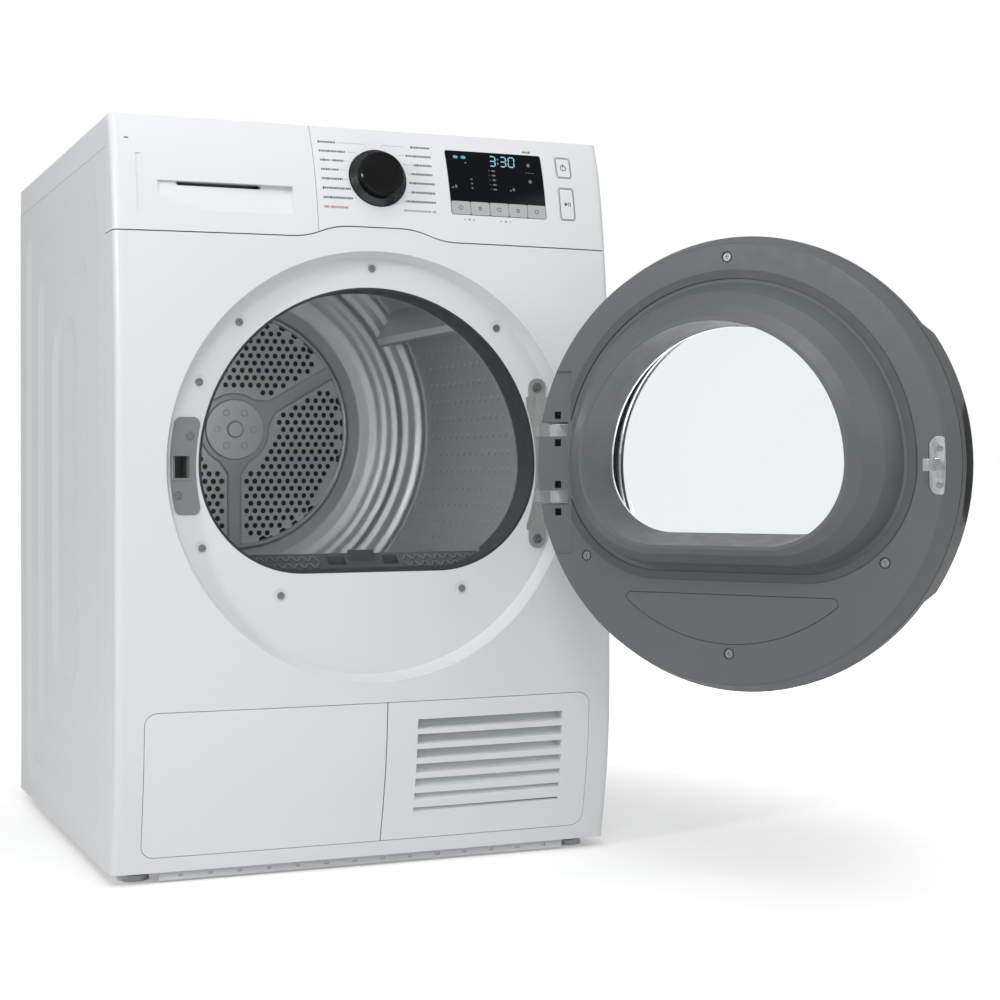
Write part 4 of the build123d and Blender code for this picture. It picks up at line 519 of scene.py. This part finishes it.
class DRYER_OT_perforation(bpy.types.Operator):
    """Models the perforated sheet between the spokes of the drum's rear wall"""

    bl_idname = "dryer.perforation"
    bl_label = "Perforated rear wall"

    def execute(self, context):
        wide = sizes()
        cell = cell_plate()
        source = cell.data
        blind = blind_plate()
        pitch = wide.hole_pitch
        row_pitch = pitch * math.sqrt(3) / 2
        rows = int(wide.outer_ring / row_pitch) + 2
        columns = int(wide.outer_ring / pitch) + 2
        mesh = bmesh.new()
        for row in range(-rows, rows + 1):
            for column in range(-columns, columns + 1):
                x = (column + 0.5 * (row % 2)) * pitch
                z = row * row_pitch
                radius = math.hypot(x, z)
                if radius < wide.inner_ring - INNER_MARGIN or radius > wide.outer_ring + OUTER_MARGIN:
                    continue
                angle = math.degrees(math.atan2(z, x))
                nearest = min(abs((angle - spoke + 180) % 360 - 180) for spoke in SPOKE_ANGLES)
                off_spoke = radius * math.sin(math.radians(min(nearest, 90)))
                on_ring = wide.inner_ring + 2 * MM < radius < wide.outer_ring - 1 * MM
                holder = (source if on_ring and off_spoke > SPOKE_HALF else blind.data).copy()
                holder.transform(Matrix.Translation((x, z, 0)))
                mesh.from_mesh(holder)
                bpy.data.meshes.remove(holder)
        bpy.data.objects.remove(blind, do_unlink=True)
        bmesh.ops.remove_doubles(mesh, verts=mesh.verts, dist=0.2 * MM)
        upright = Matrix.Rotation(math.radians(90), 4, "X")
        placed = Matrix.Translation((0, SHEET_DEPTH, DRUM_AXIS)) @ upright
        bmesh.ops.transform(mesh, matrix=placed, verts=mesh.verts)
        mesh.to_mesh(source)
        mesh.free()
        clear_selection()
        cell.select_set(True)
        context.view_layer.objects.active = cell
        bpy.ops.object.mode_set(mode="EDIT")
        bpy.ops.mesh.select_all(action="SELECT")
        bpy.ops.mesh.normals_make_consistent(inside=False)
        bpy.ops.object.mode_set(mode="OBJECT")
        wall = cell.modifiers.new("wall", "SOLIDIFY")
        wall.thickness = SHEET_THICKNESS
        wall.offset = 0
        bpy.ops.object.modifier_apply(modifier="wall")
        settle(cell, "perforated_sheet", "drum", drum_steel("perforated_steel", finishes().steel))
        return {"FINISHED"}


RAY_START = -0.4


def front_tree(nodes):
    """Search tree over the rest surfaces of some nodes."""
    places, faces = [], []
    for name in nodes:
        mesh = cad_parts[name].data
        start = len(places)
        places += [vertex.co.copy() for vertex in mesh.vertices]
        faces += [[start + index for index in polygon.vertices] for polygon in mesh.polygons]
    return BVHTree.FromPolygons(places, faces)


def extent(name):
    """Lowest and highest corner of a node."""
    places = [vertex.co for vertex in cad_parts[name].data.vertices]
    low = Vector([min(place[axis] for place in places) for axis in range(3)])
    high = Vector([max(place[axis] for place in places) for axis in range(3)])
    return low, high


def middle_of(name):
    """Middle of a node in x and z, in millimetres."""
    low, high = extent(name)
    return (low.x + high.x) / 2 / MM, (low.z + high.z) / 2 / MM


def slab(corners=4):
    """Thin plate one unit wide and high in x and z, its front face at y = -0.5, edges eased."""
    clear_selection()
    bpy.ops.mesh.primitive_cylinder_add(vertices=corners, radius=0.5 * math.sqrt(2) if corners == 4 else 0.5,
                                        depth=1.0, location=(0, 0, 0))
    piece = bpy.context.object
    bpy.ops.object.mode_set(mode="EDIT")
    bpy.ops.mesh.select_all(action="SELECT")
    if corners == 4:
        bpy.ops.transform.rotate(value=math.radians(45), orient_axis="Z", center_override=(0, 0, 0))
    bpy.ops.mesh.bevel(offset=0.12, segments=1, affect="EDGES")
    bpy.ops.transform.rotate(value=math.radians(90), orient_axis="X", center_override=(0, 0, 0))
    bpy.ops.object.mode_set(mode="OBJECT")
    return piece


def ring_slab(inner=0.72, vertices=28):
    """Thin flat ring one unit across; inner is the size of its hole."""
    clear_selection()
    bpy.ops.mesh.primitive_circle_add(vertices=vertices, radius=0.5, fill_type="NOTHING", location=(0, 0, 0))
    piece = bpy.context.object
    bpy.ops.object.mode_set(mode="EDIT")
    bpy.ops.mesh.select_all(action="SELECT")
    bpy.ops.mesh.extrude_edges_move()
    bpy.ops.transform.resize(value=(inner, inner, 1.0), center_override=(0, 0, 0))
    bpy.ops.mesh.select_all(action="SELECT")
    bpy.ops.transform.translate(value=(0, 0, 0.5))
    bpy.ops.mesh.extrude_region_move(TRANSFORM_OT_translate={"value": (0, 0, -1)})
    bpy.ops.mesh.select_all(action="SELECT")
    bpy.ops.mesh.normals_make_consistent(inside=False)
    bpy.ops.transform.rotate(value=math.radians(90), orient_axis="X", center_override=(0, 0, 0))
    bpy.ops.object.mode_set(mode="OBJECT")
    return piece


def spread(source, places):
    """Fills the source object with copies of its own mesh, one for each matrix."""
    base = source.data
    mesh = bmesh.new()
    for matrix in places:
        holder = base.copy()
        holder.transform(matrix)
        mesh.from_mesh(holder)
        bpy.data.meshes.remove(holder)
    mesh.to_mesh(base)
    mesh.free()
    base.update()


def front_point(tree, x, z):
    """Place on the front surface at x and z in millimetres, and the outward normal there."""
    place, normal, _, _ = tree.ray_cast(Vector((x * MM, RAY_START, z * MM)), Vector((0, 1, 0)))
    if place is None:
        raise RuntimeError("no surface under a mark at %.1f, %.1f" % (x, z))
    return place, -normal if normal.y > 0 else normal


def facing(tree, x, z, wide, high, turn=0.0, thick=0.12, proud=0.04):
    """Matrix that lays a unit slab on the front surface at x and z, all in millimetres."""
    place, normal = front_point(tree, x, z)
    lay = Vector((0, -1, 0)).rotation_difference(normal).to_matrix().to_4x4()
    middle = place + normal * (proud - thick / 2) * MM
    size = Matrix.Diagonal((wide * MM, thick * MM, high * MM, 1.0))
    return Matrix.Translation(middle) @ lay @ Matrix.Rotation(math.radians(turn), 4, "Y") @ size


LABEL_TOP = 831.0
LABEL_STEP = 11.1
LEFT_EDGE, RIGHT_EDGE = -60.0, 76.0
KNOB_X, KNOB_Z, KNOB_CLEAR = 7.5, 790.0, 37.5
WORD_GAP = 1.8
LINE = 0.45
CALL_MARK = (197.0, 834.3, 10.0)
DRAWER_MARK = (-281.0, 822.0, 5.0, 1.6)
LEFT_WORDS = ((20,), (13, 15), (12, 13), (11, 6), (24,), (34,), (34,), (6, 20))
RIGHT_WORDS = ((5, 16), (30,), (22,), (26,), (30,), (28,), (36,), (34, 4))
GLYPHS = (1.6, 1.3, 1.9, 1.1, 1.5, 2.2, 1.3)
GLYPH_GAP = 0.55
TALL_GLYPH, LOW_GLYPH = 3.1, 2.6


def word_marks(tree, start, height, width):
    """Row of small upright blocks of uneven width that stands for one printed word."""
    marks = []
    x, index = start, int(width * 7 + height) % len(GLYPHS)
    while x < start + width:
        glyph = GLYPHS[index % len(GLYPHS)]
        tall = TALL_GLYPH if index % 5 == 0 else LOW_GLYPH
        marks.append(facing(tree, x + glyph / 2, height, glyph, tall))
        x += glyph + GLYPH_GAP
        index += 1
    return marks


def knob_chord(height):
    """Half the width of the clear disc round the knob at one height."""
    return math.sqrt(max(0.0, KNOB_CLEAR ** 2 - (height - KNOB_Z) ** 2))


class DRYER_OT_labels(bpy.types.Operator):
    """Lays rows of plain blocks beside the knob where a maker prints programme names"""

    bl_idname = "dryer.labels"
    bl_label = "Printed blocks"

    def execute(self, context):
        tree = front_tree(("control_fascia", "tank_drawer_front"))
        dark, red, lines = [], [], []
        last = len(LEFT_WORDS) - 1
        for row, words in enumerate(LEFT_WORDS):
            height = LABEL_TOP - row * LABEL_STEP
            x = LEFT_EDGE
            for word in words:
                (red if row == last else dark).extend(word_marks(tree, x, height, word))
                x += word + WORD_GAP
            rim = KNOB_X - knob_chord(height)
            if 0 < row < last and rim - x > 1.5:
                lines.append(facing(tree, (x + rim) / 2, height, rim - x, LINE))
        for row, words in enumerate(RIGHT_WORDS):
            height = LABEL_TOP - row * LABEL_STEP
            x = RIGHT_EDGE - sum(words) - WORD_GAP * (len(words) - 1)
            rim = KNOB_X + knob_chord(height)
            if 0 < row < last and x - rim > 1.5:
                lines.append(facing(tree, (x + rim) / 2, height, x - rim - 1.0, LINE))
            for word in words:
                (lines if row == last else dark).extend(word_marks(tree, x, height, word))
                x += word + WORD_GAP
        for side, start in ((-1, -37.0), (1, 54.0)):
            end = KNOB_X + side * 10.0
            lines.append(facing(tree, (start + end) / 2, LABEL_TOP, abs(end - start), LINE))
            lines.append(facing(tree, end, LABEL_TOP - 1.6, LINE, 3.4))
        below = extent("option_key_1")[0].z / MM - 6.0
        for x in (118.0, 165.0):
            lines.append(facing(tree, x, below, 2.6, 2.6))
            for side in (-1, 1):
                dark.append(facing(tree, x + side * 6.0, below, 2.4, 0.8, turn=side * 35.0))
        dark.extend(word_marks(tree, *CALL_MARK))
        drawer = facing(tree, *DRAWER_MARK)
        for name, places, colour, body in (
            ("fascia_print", dark, finishes().ink, "cabinet"),
            ("fascia_print_red", red, (0.6, 0.25, 0.22), "cabinet"),
            ("fascia_lines", lines, (0.42, 0.43, 0.43), "cabinet"),
            ("drawer_print", [drawer], finishes().ink, "tank_drawer"),
        ):
            piece = slab()
            spread(piece, places)
            settle(piece, name, body, moulded(name + "_ink", colour, rough=0.6, depth=0.0, mottle=0.12))
        return {"FINISHED"}


SEGMENTS = {
    "0": "abcdef", "3": "abcdg",
}
SEGMENT_PLACES = {
    "a": (0.0, 1.0, 0), "b": (0.5, 0.5, 90), "c": (0.5, -0.5, 90), "d": (0.0, -1.0, 0),
    "e": (-0.5, -0.5, 90), "f": (-0.5, 0.5, 90), "g": (0.0, 0.0, 0),
}


# all the signs are in millimetres: x, z, width and height
DIGITS = (("3", 155.6), ("3", 169.4), ("0", 180.2))
DIGIT_MIDDLE, DIGIT_WIDTH, DIGIT_REACH, DIGIT_SLANT = 820.0, 7.2, 6.0, 0.6
SEGMENT_SIZE = (5.4, 1.5)
COLON_X, COLON_SIZE = 162.6, (1.3, 1.5)
BLUE_SIGNS = ((108.7, 822.7, 7.2, 5.0), (118.6, 822.7, 7.2, 5.0))
WHITE_SIGNS = (
    *((125.6, 796.0 - row * 5.4, 3.4, 2.2) for row in range(3)),
    *(
        (x, 807.8 - row * 5.7, wide, high)
        for row in range(5) for x, wide, high in ((149.5, 2.0, 0.9), (155.0, 6.0, 2.2))
    ),
    (103.1 - 2.6, 784.6, 3.0, 2.4), (103.1 + 1.6, 786.2, 3.4, 4.6),
    (177.7 - 2.6, 784.6, 3.0, 2.4), (177.7 + 1.6, 786.2, 3.4, 4.6),
    (202.2, 817.6, 4.8, 5.6), (202.2, 797.2, 5.0, 5.2),
    *((198.0 + index * 3.2, 808.0, 2.4, 0.9) for index in range(4)),
    (120.6, 816.0, 3.0, 2.2),
)


class DRYER_OT_display(bpy.types.Operator):
    """Models the lit digits and the small signs behind the display window"""

    bl_idname = "dryer.display"
    bl_label = "Display"

    def execute(self, context):
        tree = front_tree(("display_window",))
        lit = []
        for digit, middle in DIGITS:
            for segment in SEGMENTS[digit]:
                across, up, turn = SEGMENT_PLACES[segment]
                x = middle + across * DIGIT_WIDTH + up * DIGIT_SLANT
                z = DIGIT_MIDDLE + up * DIGIT_REACH
                lit.append(facing(tree, x, z, *SEGMENT_SIZE, turn=turn))
        for up in (-2.6, 2.6):
            lit.append(facing(tree, COLON_X + up * 0.1, DIGIT_MIDDLE + up, *COLON_SIZE))
        blue = [facing(tree, *sign) for sign in BLUE_SIGNS]
        white = [facing(tree, *sign) for sign in WHITE_SIGNS]
        for name, places, corners, colour, power in (
            ("display_digits", lit, 4, finishes().digits, 0.85),
            ("display_lamps", blue, 6, (0.16, 0.5, 0.68), 0.7),
            ("display_signs", white, 6, (0.5, 0.55, 0.56), 0.28),
        ):
            piece = slab(corners)
            spread(piece, places)
            settle(piece, name, "cabinet", lit_segments(name + "_light", colour, power))
        return {"FINISHED"}


def frame_bars(tree, low, high, inset=1.0, wide=1.1, corner=2.0):
    """Bars of a thin frame with cut corners just inside a key's edge, all in millimetres."""
    x, z = (low.x + high.x) / 2, (low.z + high.z) / 2
    half_x, half_z = (high.x - low.x) / 2 - inset, (high.z - low.z) / 2 - inset
    bars = []
    for side in (-1, 1):
        bars.append(facing(tree, x + side * half_x, z, wide, 2 * (half_z - corner) + wide))
        bars.append(facing(tree, x, z + side * half_z, 2 * (half_x - corner) + wide, wide))
        for lift in (-1, 1):
            bars.append(facing(tree, x + side * (half_x - corner / 2), z + lift * (half_z - corner / 2),
                               corner * math.sqrt(2) + wide, wide, turn=45.0 * side * lift))
    return bars


# the thin ring of the knob, and how far it lies in front of the middle of the cap with its shaft
RING_RADIUS = 23.7 * MM
RING_HALF = 0.7 * MM
RING_LIFT = 10.35 * MM


class DRYER_OT_symbols(bpy.types.Operator):
    """Models the plain signs on the keys and the two buttons"""

    bl_idname = "dryer.symbols"
    bl_label = "Key signs"

    def execute(self, context):
        ink = moulded("sign_ink", (0.07, 0.075, 0.08), rough=0.6, depth=0.0, mottle=0.12)
        for index in range(1, 6):
            name = "option_key_%d" % index
            x, z = middle_of(name)
            tree = front_tree((name,))
            if index % 2:
                piece = ring_slab(0.7)
                spread(piece, [facing(tree, x, z, 5.2, 5.2)])
            else:
                piece = slab()
                spread(piece, [facing(tree, x, z + up, 4.6, 0.8) for up in (-1.6, 0.0, 1.6)])
            settle(piece, "key_sign_%d" % index, name, ink)
        x, z = middle_of("power_button")
        tree = front_tree(("power_button",))
        piece = ring_slab(0.74)
        spread(piece, [facing(tree, x, z, 8.0, 8.0)])
        settle(piece, "power_ring", "power_button", ink)
        piece = slab()
        spread(piece, [facing(tree, x, z + 2.4, 1.0, 5.0, proud=0.1)])
        settle(piece, "power_bar", "power_button", ink)
        x, z = middle_of("start_button")
        tree = front_tree(("start_button",))
        piece = slab(3)
        spread(piece, [facing(tree, x - 1.4, z, 6.4, 6.4, turn=-90)])
        settle(piece, "start_arrow", "start_button", ink)
        piece = slab()
        spread(piece, [facing(tree, x + 2.6, z, 1.0, 5.6), facing(tree, x + 4.6, z, 1.0, 5.6)])
        settle(piece, "pause_bars", "start_button", ink)
        low, high = extent("knob_cap")
        _, normal = front_point(front_tree(("knob_cap",)), *middle_of("knob_cap"))
        clear_selection()
        bpy.ops.mesh.primitive_torus_add(
            major_segments=96, minor_segments=10, major_radius=RING_RADIUS, minor_radius=RING_HALF,
            location=(0, 0, 0),
        )
        ring = context.object
        bpy.ops.object.mode_set(mode="EDIT")
        bpy.ops.mesh.select_all(action="SELECT")
        bpy.ops.transform.resize(value=(1.0, 1.0, 0.7), center_override=(0, 0, 0))
        bpy.ops.object.mode_set(mode="OBJECT")
        lay = Vector((0, 0, 1)).rotation_difference(normal).to_matrix().to_4x4()
        ring.data.transform(Matrix.Translation((low + high) / 2 + normal * RING_LIFT) @ lay)
        # a thin ring at the cap's edge; its flat light grey, in place of metal, is partly a painted highlight
        # along that edge
        ring_grey_and_highlight = moulded("ring_grey_and_highlight", (0.32, 0.325, 0.33), rough=0.3, depth=0.0)
        settle(ring, "knob_ring", "knob", ring_grey_and_highlight, smooth=60)
        rim_grey = moulded("rim_grey", (0.2, 0.205, 0.21), rough=0.45, depth=0.0, mottle=0.05)
        for name in ("power_button", "start_button"):
            low, high = extent(name)
            piece = slab()
            spread(piece, frame_bars(front_tree((name,)), low / MM, high / MM))
            settle(piece, name + "_rim", name, rim_grey)
        return {"FINISHED"}


# the slanting ribs, in millimetres and degrees
RIB_START, RIB_PITCH, RIB_COUNT, RIB_LEAN = 58.0, 13.0, 7, 32
RIB_SIZE = (1.8 * MM, 1.6 * MM, 10.5 * MM, 1.0)


class DRYER_OT_lattice(bpy.types.Operator):
    """Models the slanting ribs over the lint filter"""

    bl_idname = "dryer.lattice"
    bl_label = "Filter ribs"

    def execute(self, context):
        _, high = extent("filter_frame")
        lowest = high.z - 29 * MM
        tree = front_tree(("filter_frame",))
        places = []
        for side in (-1, 1):
            for index in range(RIB_COUNT):
                for lean in (-RIB_LEAN, RIB_LEAN):
                    x = side * (RIB_START + index * RIB_PITCH) + math.copysign(3.2, lean)
                    for y in (21.0, 31.0):
                        hit, normal, _, _ = tree.ray_cast(Vector((x * MM, y * MM, 0.6)), Vector((0, 0, -1)))
                        if hit is None or hit.z < lowest:
                            continue
                        if normal.z < 0:
                            normal = -normal
                        lay = Vector((0, -1, 0)).rotation_difference(normal).to_matrix().to_4x4()
                        turn = Matrix.Rotation(math.radians(lean if y < 25 else -lean), 4, "Y")
                        raised = Matrix.Translation(hit + normal * 0.5 * MM)
                        places.append(raised @ lay @ turn @ Matrix.Diagonal(RIB_SIZE))
        piece = slab()
        spread(piece, places)
        settle(piece, "filter_ribs", "lint_filter", moulded("rib_grey", (0.15, 0.155, 0.16), rough=0.45))
        return {"FINISHED"}


# the pips on the wall: the pitch and the first row's place are in millimetres
PIP_COLUMNS, PIP_ROWS = 72, 19
PIP_START, PIP_PITCH = 100, 22
PIP_SIZE = (4.2 * MM, 4.2 * MM, 1.2 * MM, 1.0)


class DRYER_OT_dimples(bpy.types.Operator):
    """Models the low pressed pips in columns on the drum's wall"""

    bl_idname = "dryer.dimples"
    bl_label = "Drum pips"

    def execute(self, context):
        clear_selection()
        bpy.ops.mesh.primitive_circle_add(vertices=10, radius=1.0, fill_type="NGON", location=(0, 0, 0))
        pip = context.object
        bpy.ops.object.mode_set(mode="EDIT")
        bpy.ops.mesh.select_all(action="SELECT")
        for thickness, depth in ((0.3, 0.55), (0.35, 0.3)):
            bpy.ops.mesh.inset(thickness=thickness, depth=depth)
        bpy.ops.object.mode_set(mode="OBJECT")
        places = []
        for column in range(PIP_COLUMNS):
            angle = math.radians((column + 0.5) * 360 / PIP_COLUMNS)
            inward = Vector((-math.cos(angle), 0, -math.sin(angle)))
            middle = Vector((0, 0, DRUM_AXIS)) - inward * DRUM_WALL
            lay = Vector((0, 0, 1)).rotation_difference(inward).to_matrix().to_4x4()
            for row in range(PIP_ROWS):
                y = (PIP_START + row * PIP_PITCH + column % 2 * PIP_PITCH / 2) * MM
                place = Matrix.Translation(middle + Vector((0, y, 0)))
                places.append(place @ lay @ Matrix.Diagonal(PIP_SIZE))
        spread(pip, places)
        # painted highlight: the pips are a lighter copy of the drum steel, 1.12 of it, so they show as light
        # spots
        settle(pip, "drum_pips", "drum", drum_steel("pip_steel_painted_highlight", shade(finishes().steel, 1.12)), smooth=60)
        return {"FINISHED"}


# name, place and aim in metres, width in metres and power in watts
LAMPS = (
    ("lamp_front_left", (-1.2, -2.6, 2.5), (0, 0, 0.5), 1.3, 21.0),
    ("lamp_front_right", (2.0, -2.4, 1.6), (0, 0, 0.5), 1.6, 11.0),
    ("lamp_above", (-0.15, -1.1, 2.6), (0, 0.0, 0.5), 1.8, 15.0),
    ("lamp_side", (-2.5, -1.1, 1.5), (-0.3, 0.3, 0.45), 0.4, 20.0),
    ("lamp_drum", (-0.1, 0.12, 0.6), (0.28, 0.36, 0.48), 0.12, 0.7),
)
# shares of the white that the surroundings give to reflections and to the light
GLOSSY_SHARE = 0.12
WORLD_LIGHT = 0.34
CAMERA_PLACE = (-0.70733, -2.00797, 0.45272)
CAMERA_YAW, CAMERA_PITCH, CAMERA_ROLL = 0.370945, 0.010056, -0.003296
CAMERA_LENS = 66.48
CAMERA_SHIFT = (0.0718, -0.0468)


class DRYER_OT_stage(bpy.types.Operator):
    """Sets the floor, the lamps, the world and the camera"""

    bl_idname = "dryer.stage"
    bl_label = "Stage"

    def execute(self, context):
        scene = context.scene
        scene.view_settings.view_transform = "Standard"
        clear_selection()
        bpy.ops.mesh.primitive_plane_add(size=14.0, location=(0, 0, -0.5 * MM))
        floor = bpy.context.object
        floor.name = "studio_floor"
        made = Finish("floor_white")
        path = made.node("ShaderNodeLightPath")
        made.use("Base Color", made.blend(made.noise(2.0), (0.93, 0.93, 0.93), (0.95, 0.95, 0.95)))
        made.use("Roughness", 0.9)
        made.use("Emission Color", (1.0, 1.0, 1.0))
        seen = made.math("MAXIMUM", path.outputs["Is Camera Ray"], path.outputs["Is Transmission Ray"])
        seen = made.math("MAXIMUM", seen, made.math("MULTIPLY", path.outputs["Is Glossy Ray"], GLOSSY_SHARE))
        x, y, _ = made.split()
        far = made.between(made.length(x, y), 0.45, 1.5, 0.3, 1.3, smooth=True)
        made.use("Emission Strength", made.math("MULTIPLY", seen, far))
        floor.data.materials.append(made.material)

        world = bpy.data.worlds.new("studio_world")
        scene.world = world
        world.use_nodes = True
        tree = world.node_tree
        tree.nodes.clear()
        out = tree.nodes.new("ShaderNodeOutputWorld")
        background = tree.nodes.new("ShaderNodeBackground")
        path = tree.nodes.new("ShaderNodeLightPath")
        seen, also, shine = (tree.nodes.new("ShaderNodeMath") for _ in range(3))
        seen.operation = also.operation = "MAXIMUM"
        shine.operation = "MULTIPLY"
        shine.inputs[1].default_value = GLOSSY_SHARE
        tree.links.new(path.outputs["Is Glossy Ray"], shine.inputs[0])
        tree.links.new(shine.outputs[0], also.inputs[0])
        tree.links.new(path.outputs["Is Transmission Ray"], also.inputs[1])
        tree.links.new(path.outputs["Is Camera Ray"], seen.inputs[0])
        tree.links.new(also.outputs[0], seen.inputs[1])
        level = tree.nodes.new("ShaderNodeMapRange")
        level.inputs["To Min"].default_value = WORLD_LIGHT
        level.inputs["To Max"].default_value = 1.0
        tree.links.new(seen.outputs[0], level.inputs["Value"])
        tree.links.new(level.outputs["Result"], background.inputs["Strength"])
        background.inputs["Color"].default_value = (1, 1, 1, 1)
        tree.links.new(background.outputs[0], out.inputs["Surface"])

        for name, place, aim, wide, power in LAMPS:
            data = bpy.data.lights.new(name, "AREA")
            data.shape = "DISK"
            data.size = wide
            data.energy = power
            lamp = bpy.data.objects.new(name, data)
            scene.collection.objects.link(lamp)
            lamp.location = place
            lamp.visible_camera = False
            lamp.rotation_mode = "QUATERNION"
            lamp.rotation_quaternion = (Vector(aim) - Vector(place)).to_track_quat("-Z", "Y")

        data = bpy.data.cameras.new("camera")
        camera = bpy.data.objects.new("camera", data)
        scene.collection.objects.link(camera)
        flat = math.cos(CAMERA_PITCH)
        looking = Vector((math.sin(CAMERA_YAW) * flat, math.cos(CAMERA_YAW) * flat, math.sin(CAMERA_PITCH)))
        tilt = Matrix.Rotation(CAMERA_ROLL, 3, "Z").to_quaternion()
        camera.location = CAMERA_PLACE
        camera.rotation_mode = "QUATERNION"
        camera.rotation_quaternion = looking.to_track_quat("-Z", "Y") @ tilt
        data.sensor_width = 36.0
        data.lens = CAMERA_LENS
        data.shift_x, data.shift_y = CAMERA_SHIFT
        data.clip_start, data.clip_end = 0.05, 50.0
        scene.camera = camera
        return {"FINISHED"}


class DRYER_PT_panel(bpy.types.Panel):
    """Lists the dryer's steps in the sidebar."""

    bl_label = "Clothes dryer"
    bl_idname = "DRYER_PT_panel"
    bl_space_type = "VIEW_3D"
    bl_region_type = "UI"
    bl_category = "Dryer"

    def draw(self, context):
        column = self.layout.column(align=True)
        for step in STEPS:
            column.operator(step.bl_idname)
        for group in (context.scene.dryer_finishes, context.scene.dryer_sizes):
            box = self.layout.box()
            for key in group.__annotations__:
                box.prop(group, key)


STEPS = (
    DRYER_OT_cabinet,
    DRYER_OT_controls,
    DRYER_OT_drum,
    DRYER_OT_perforation,
    DRYER_OT_dimples,
    DRYER_OT_labels,
    DRYER_OT_display,
    DRYER_OT_symbols,
    DRYER_OT_lattice,
    DRYER_OT_opening,
    DRYER_OT_door,
    DRYER_OT_inside,
    DRYER_OT_stage,
)
GROUPS = (DryerFinishes, DryerSizes)


def register():
    for item in (*GROUPS, *STEPS, DRYER_PT_panel):
        bpy.utils.register_class(item)
    bpy.types.Scene.dryer_finishes = bpy.props.PointerProperty(type=DryerFinishes)
    bpy.types.Scene.dryer_sizes = bpy.props.PointerProperty(type=DryerSizes)


def unregister():
    del bpy.types.Scene.dryer_sizes
    del bpy.types.Scene.dryer_finishes
    for item in reversed((*GROUPS, *STEPS, DRYER_PT_panel)):
        bpy.utils.unregister_class(item)


def main():
    register()
    for step in STEPS:
        group, name = step.bl_idname.split(".")
        getattr(getattr(bpy.ops, group), name)()


if __name__ == "__main__":
    main()
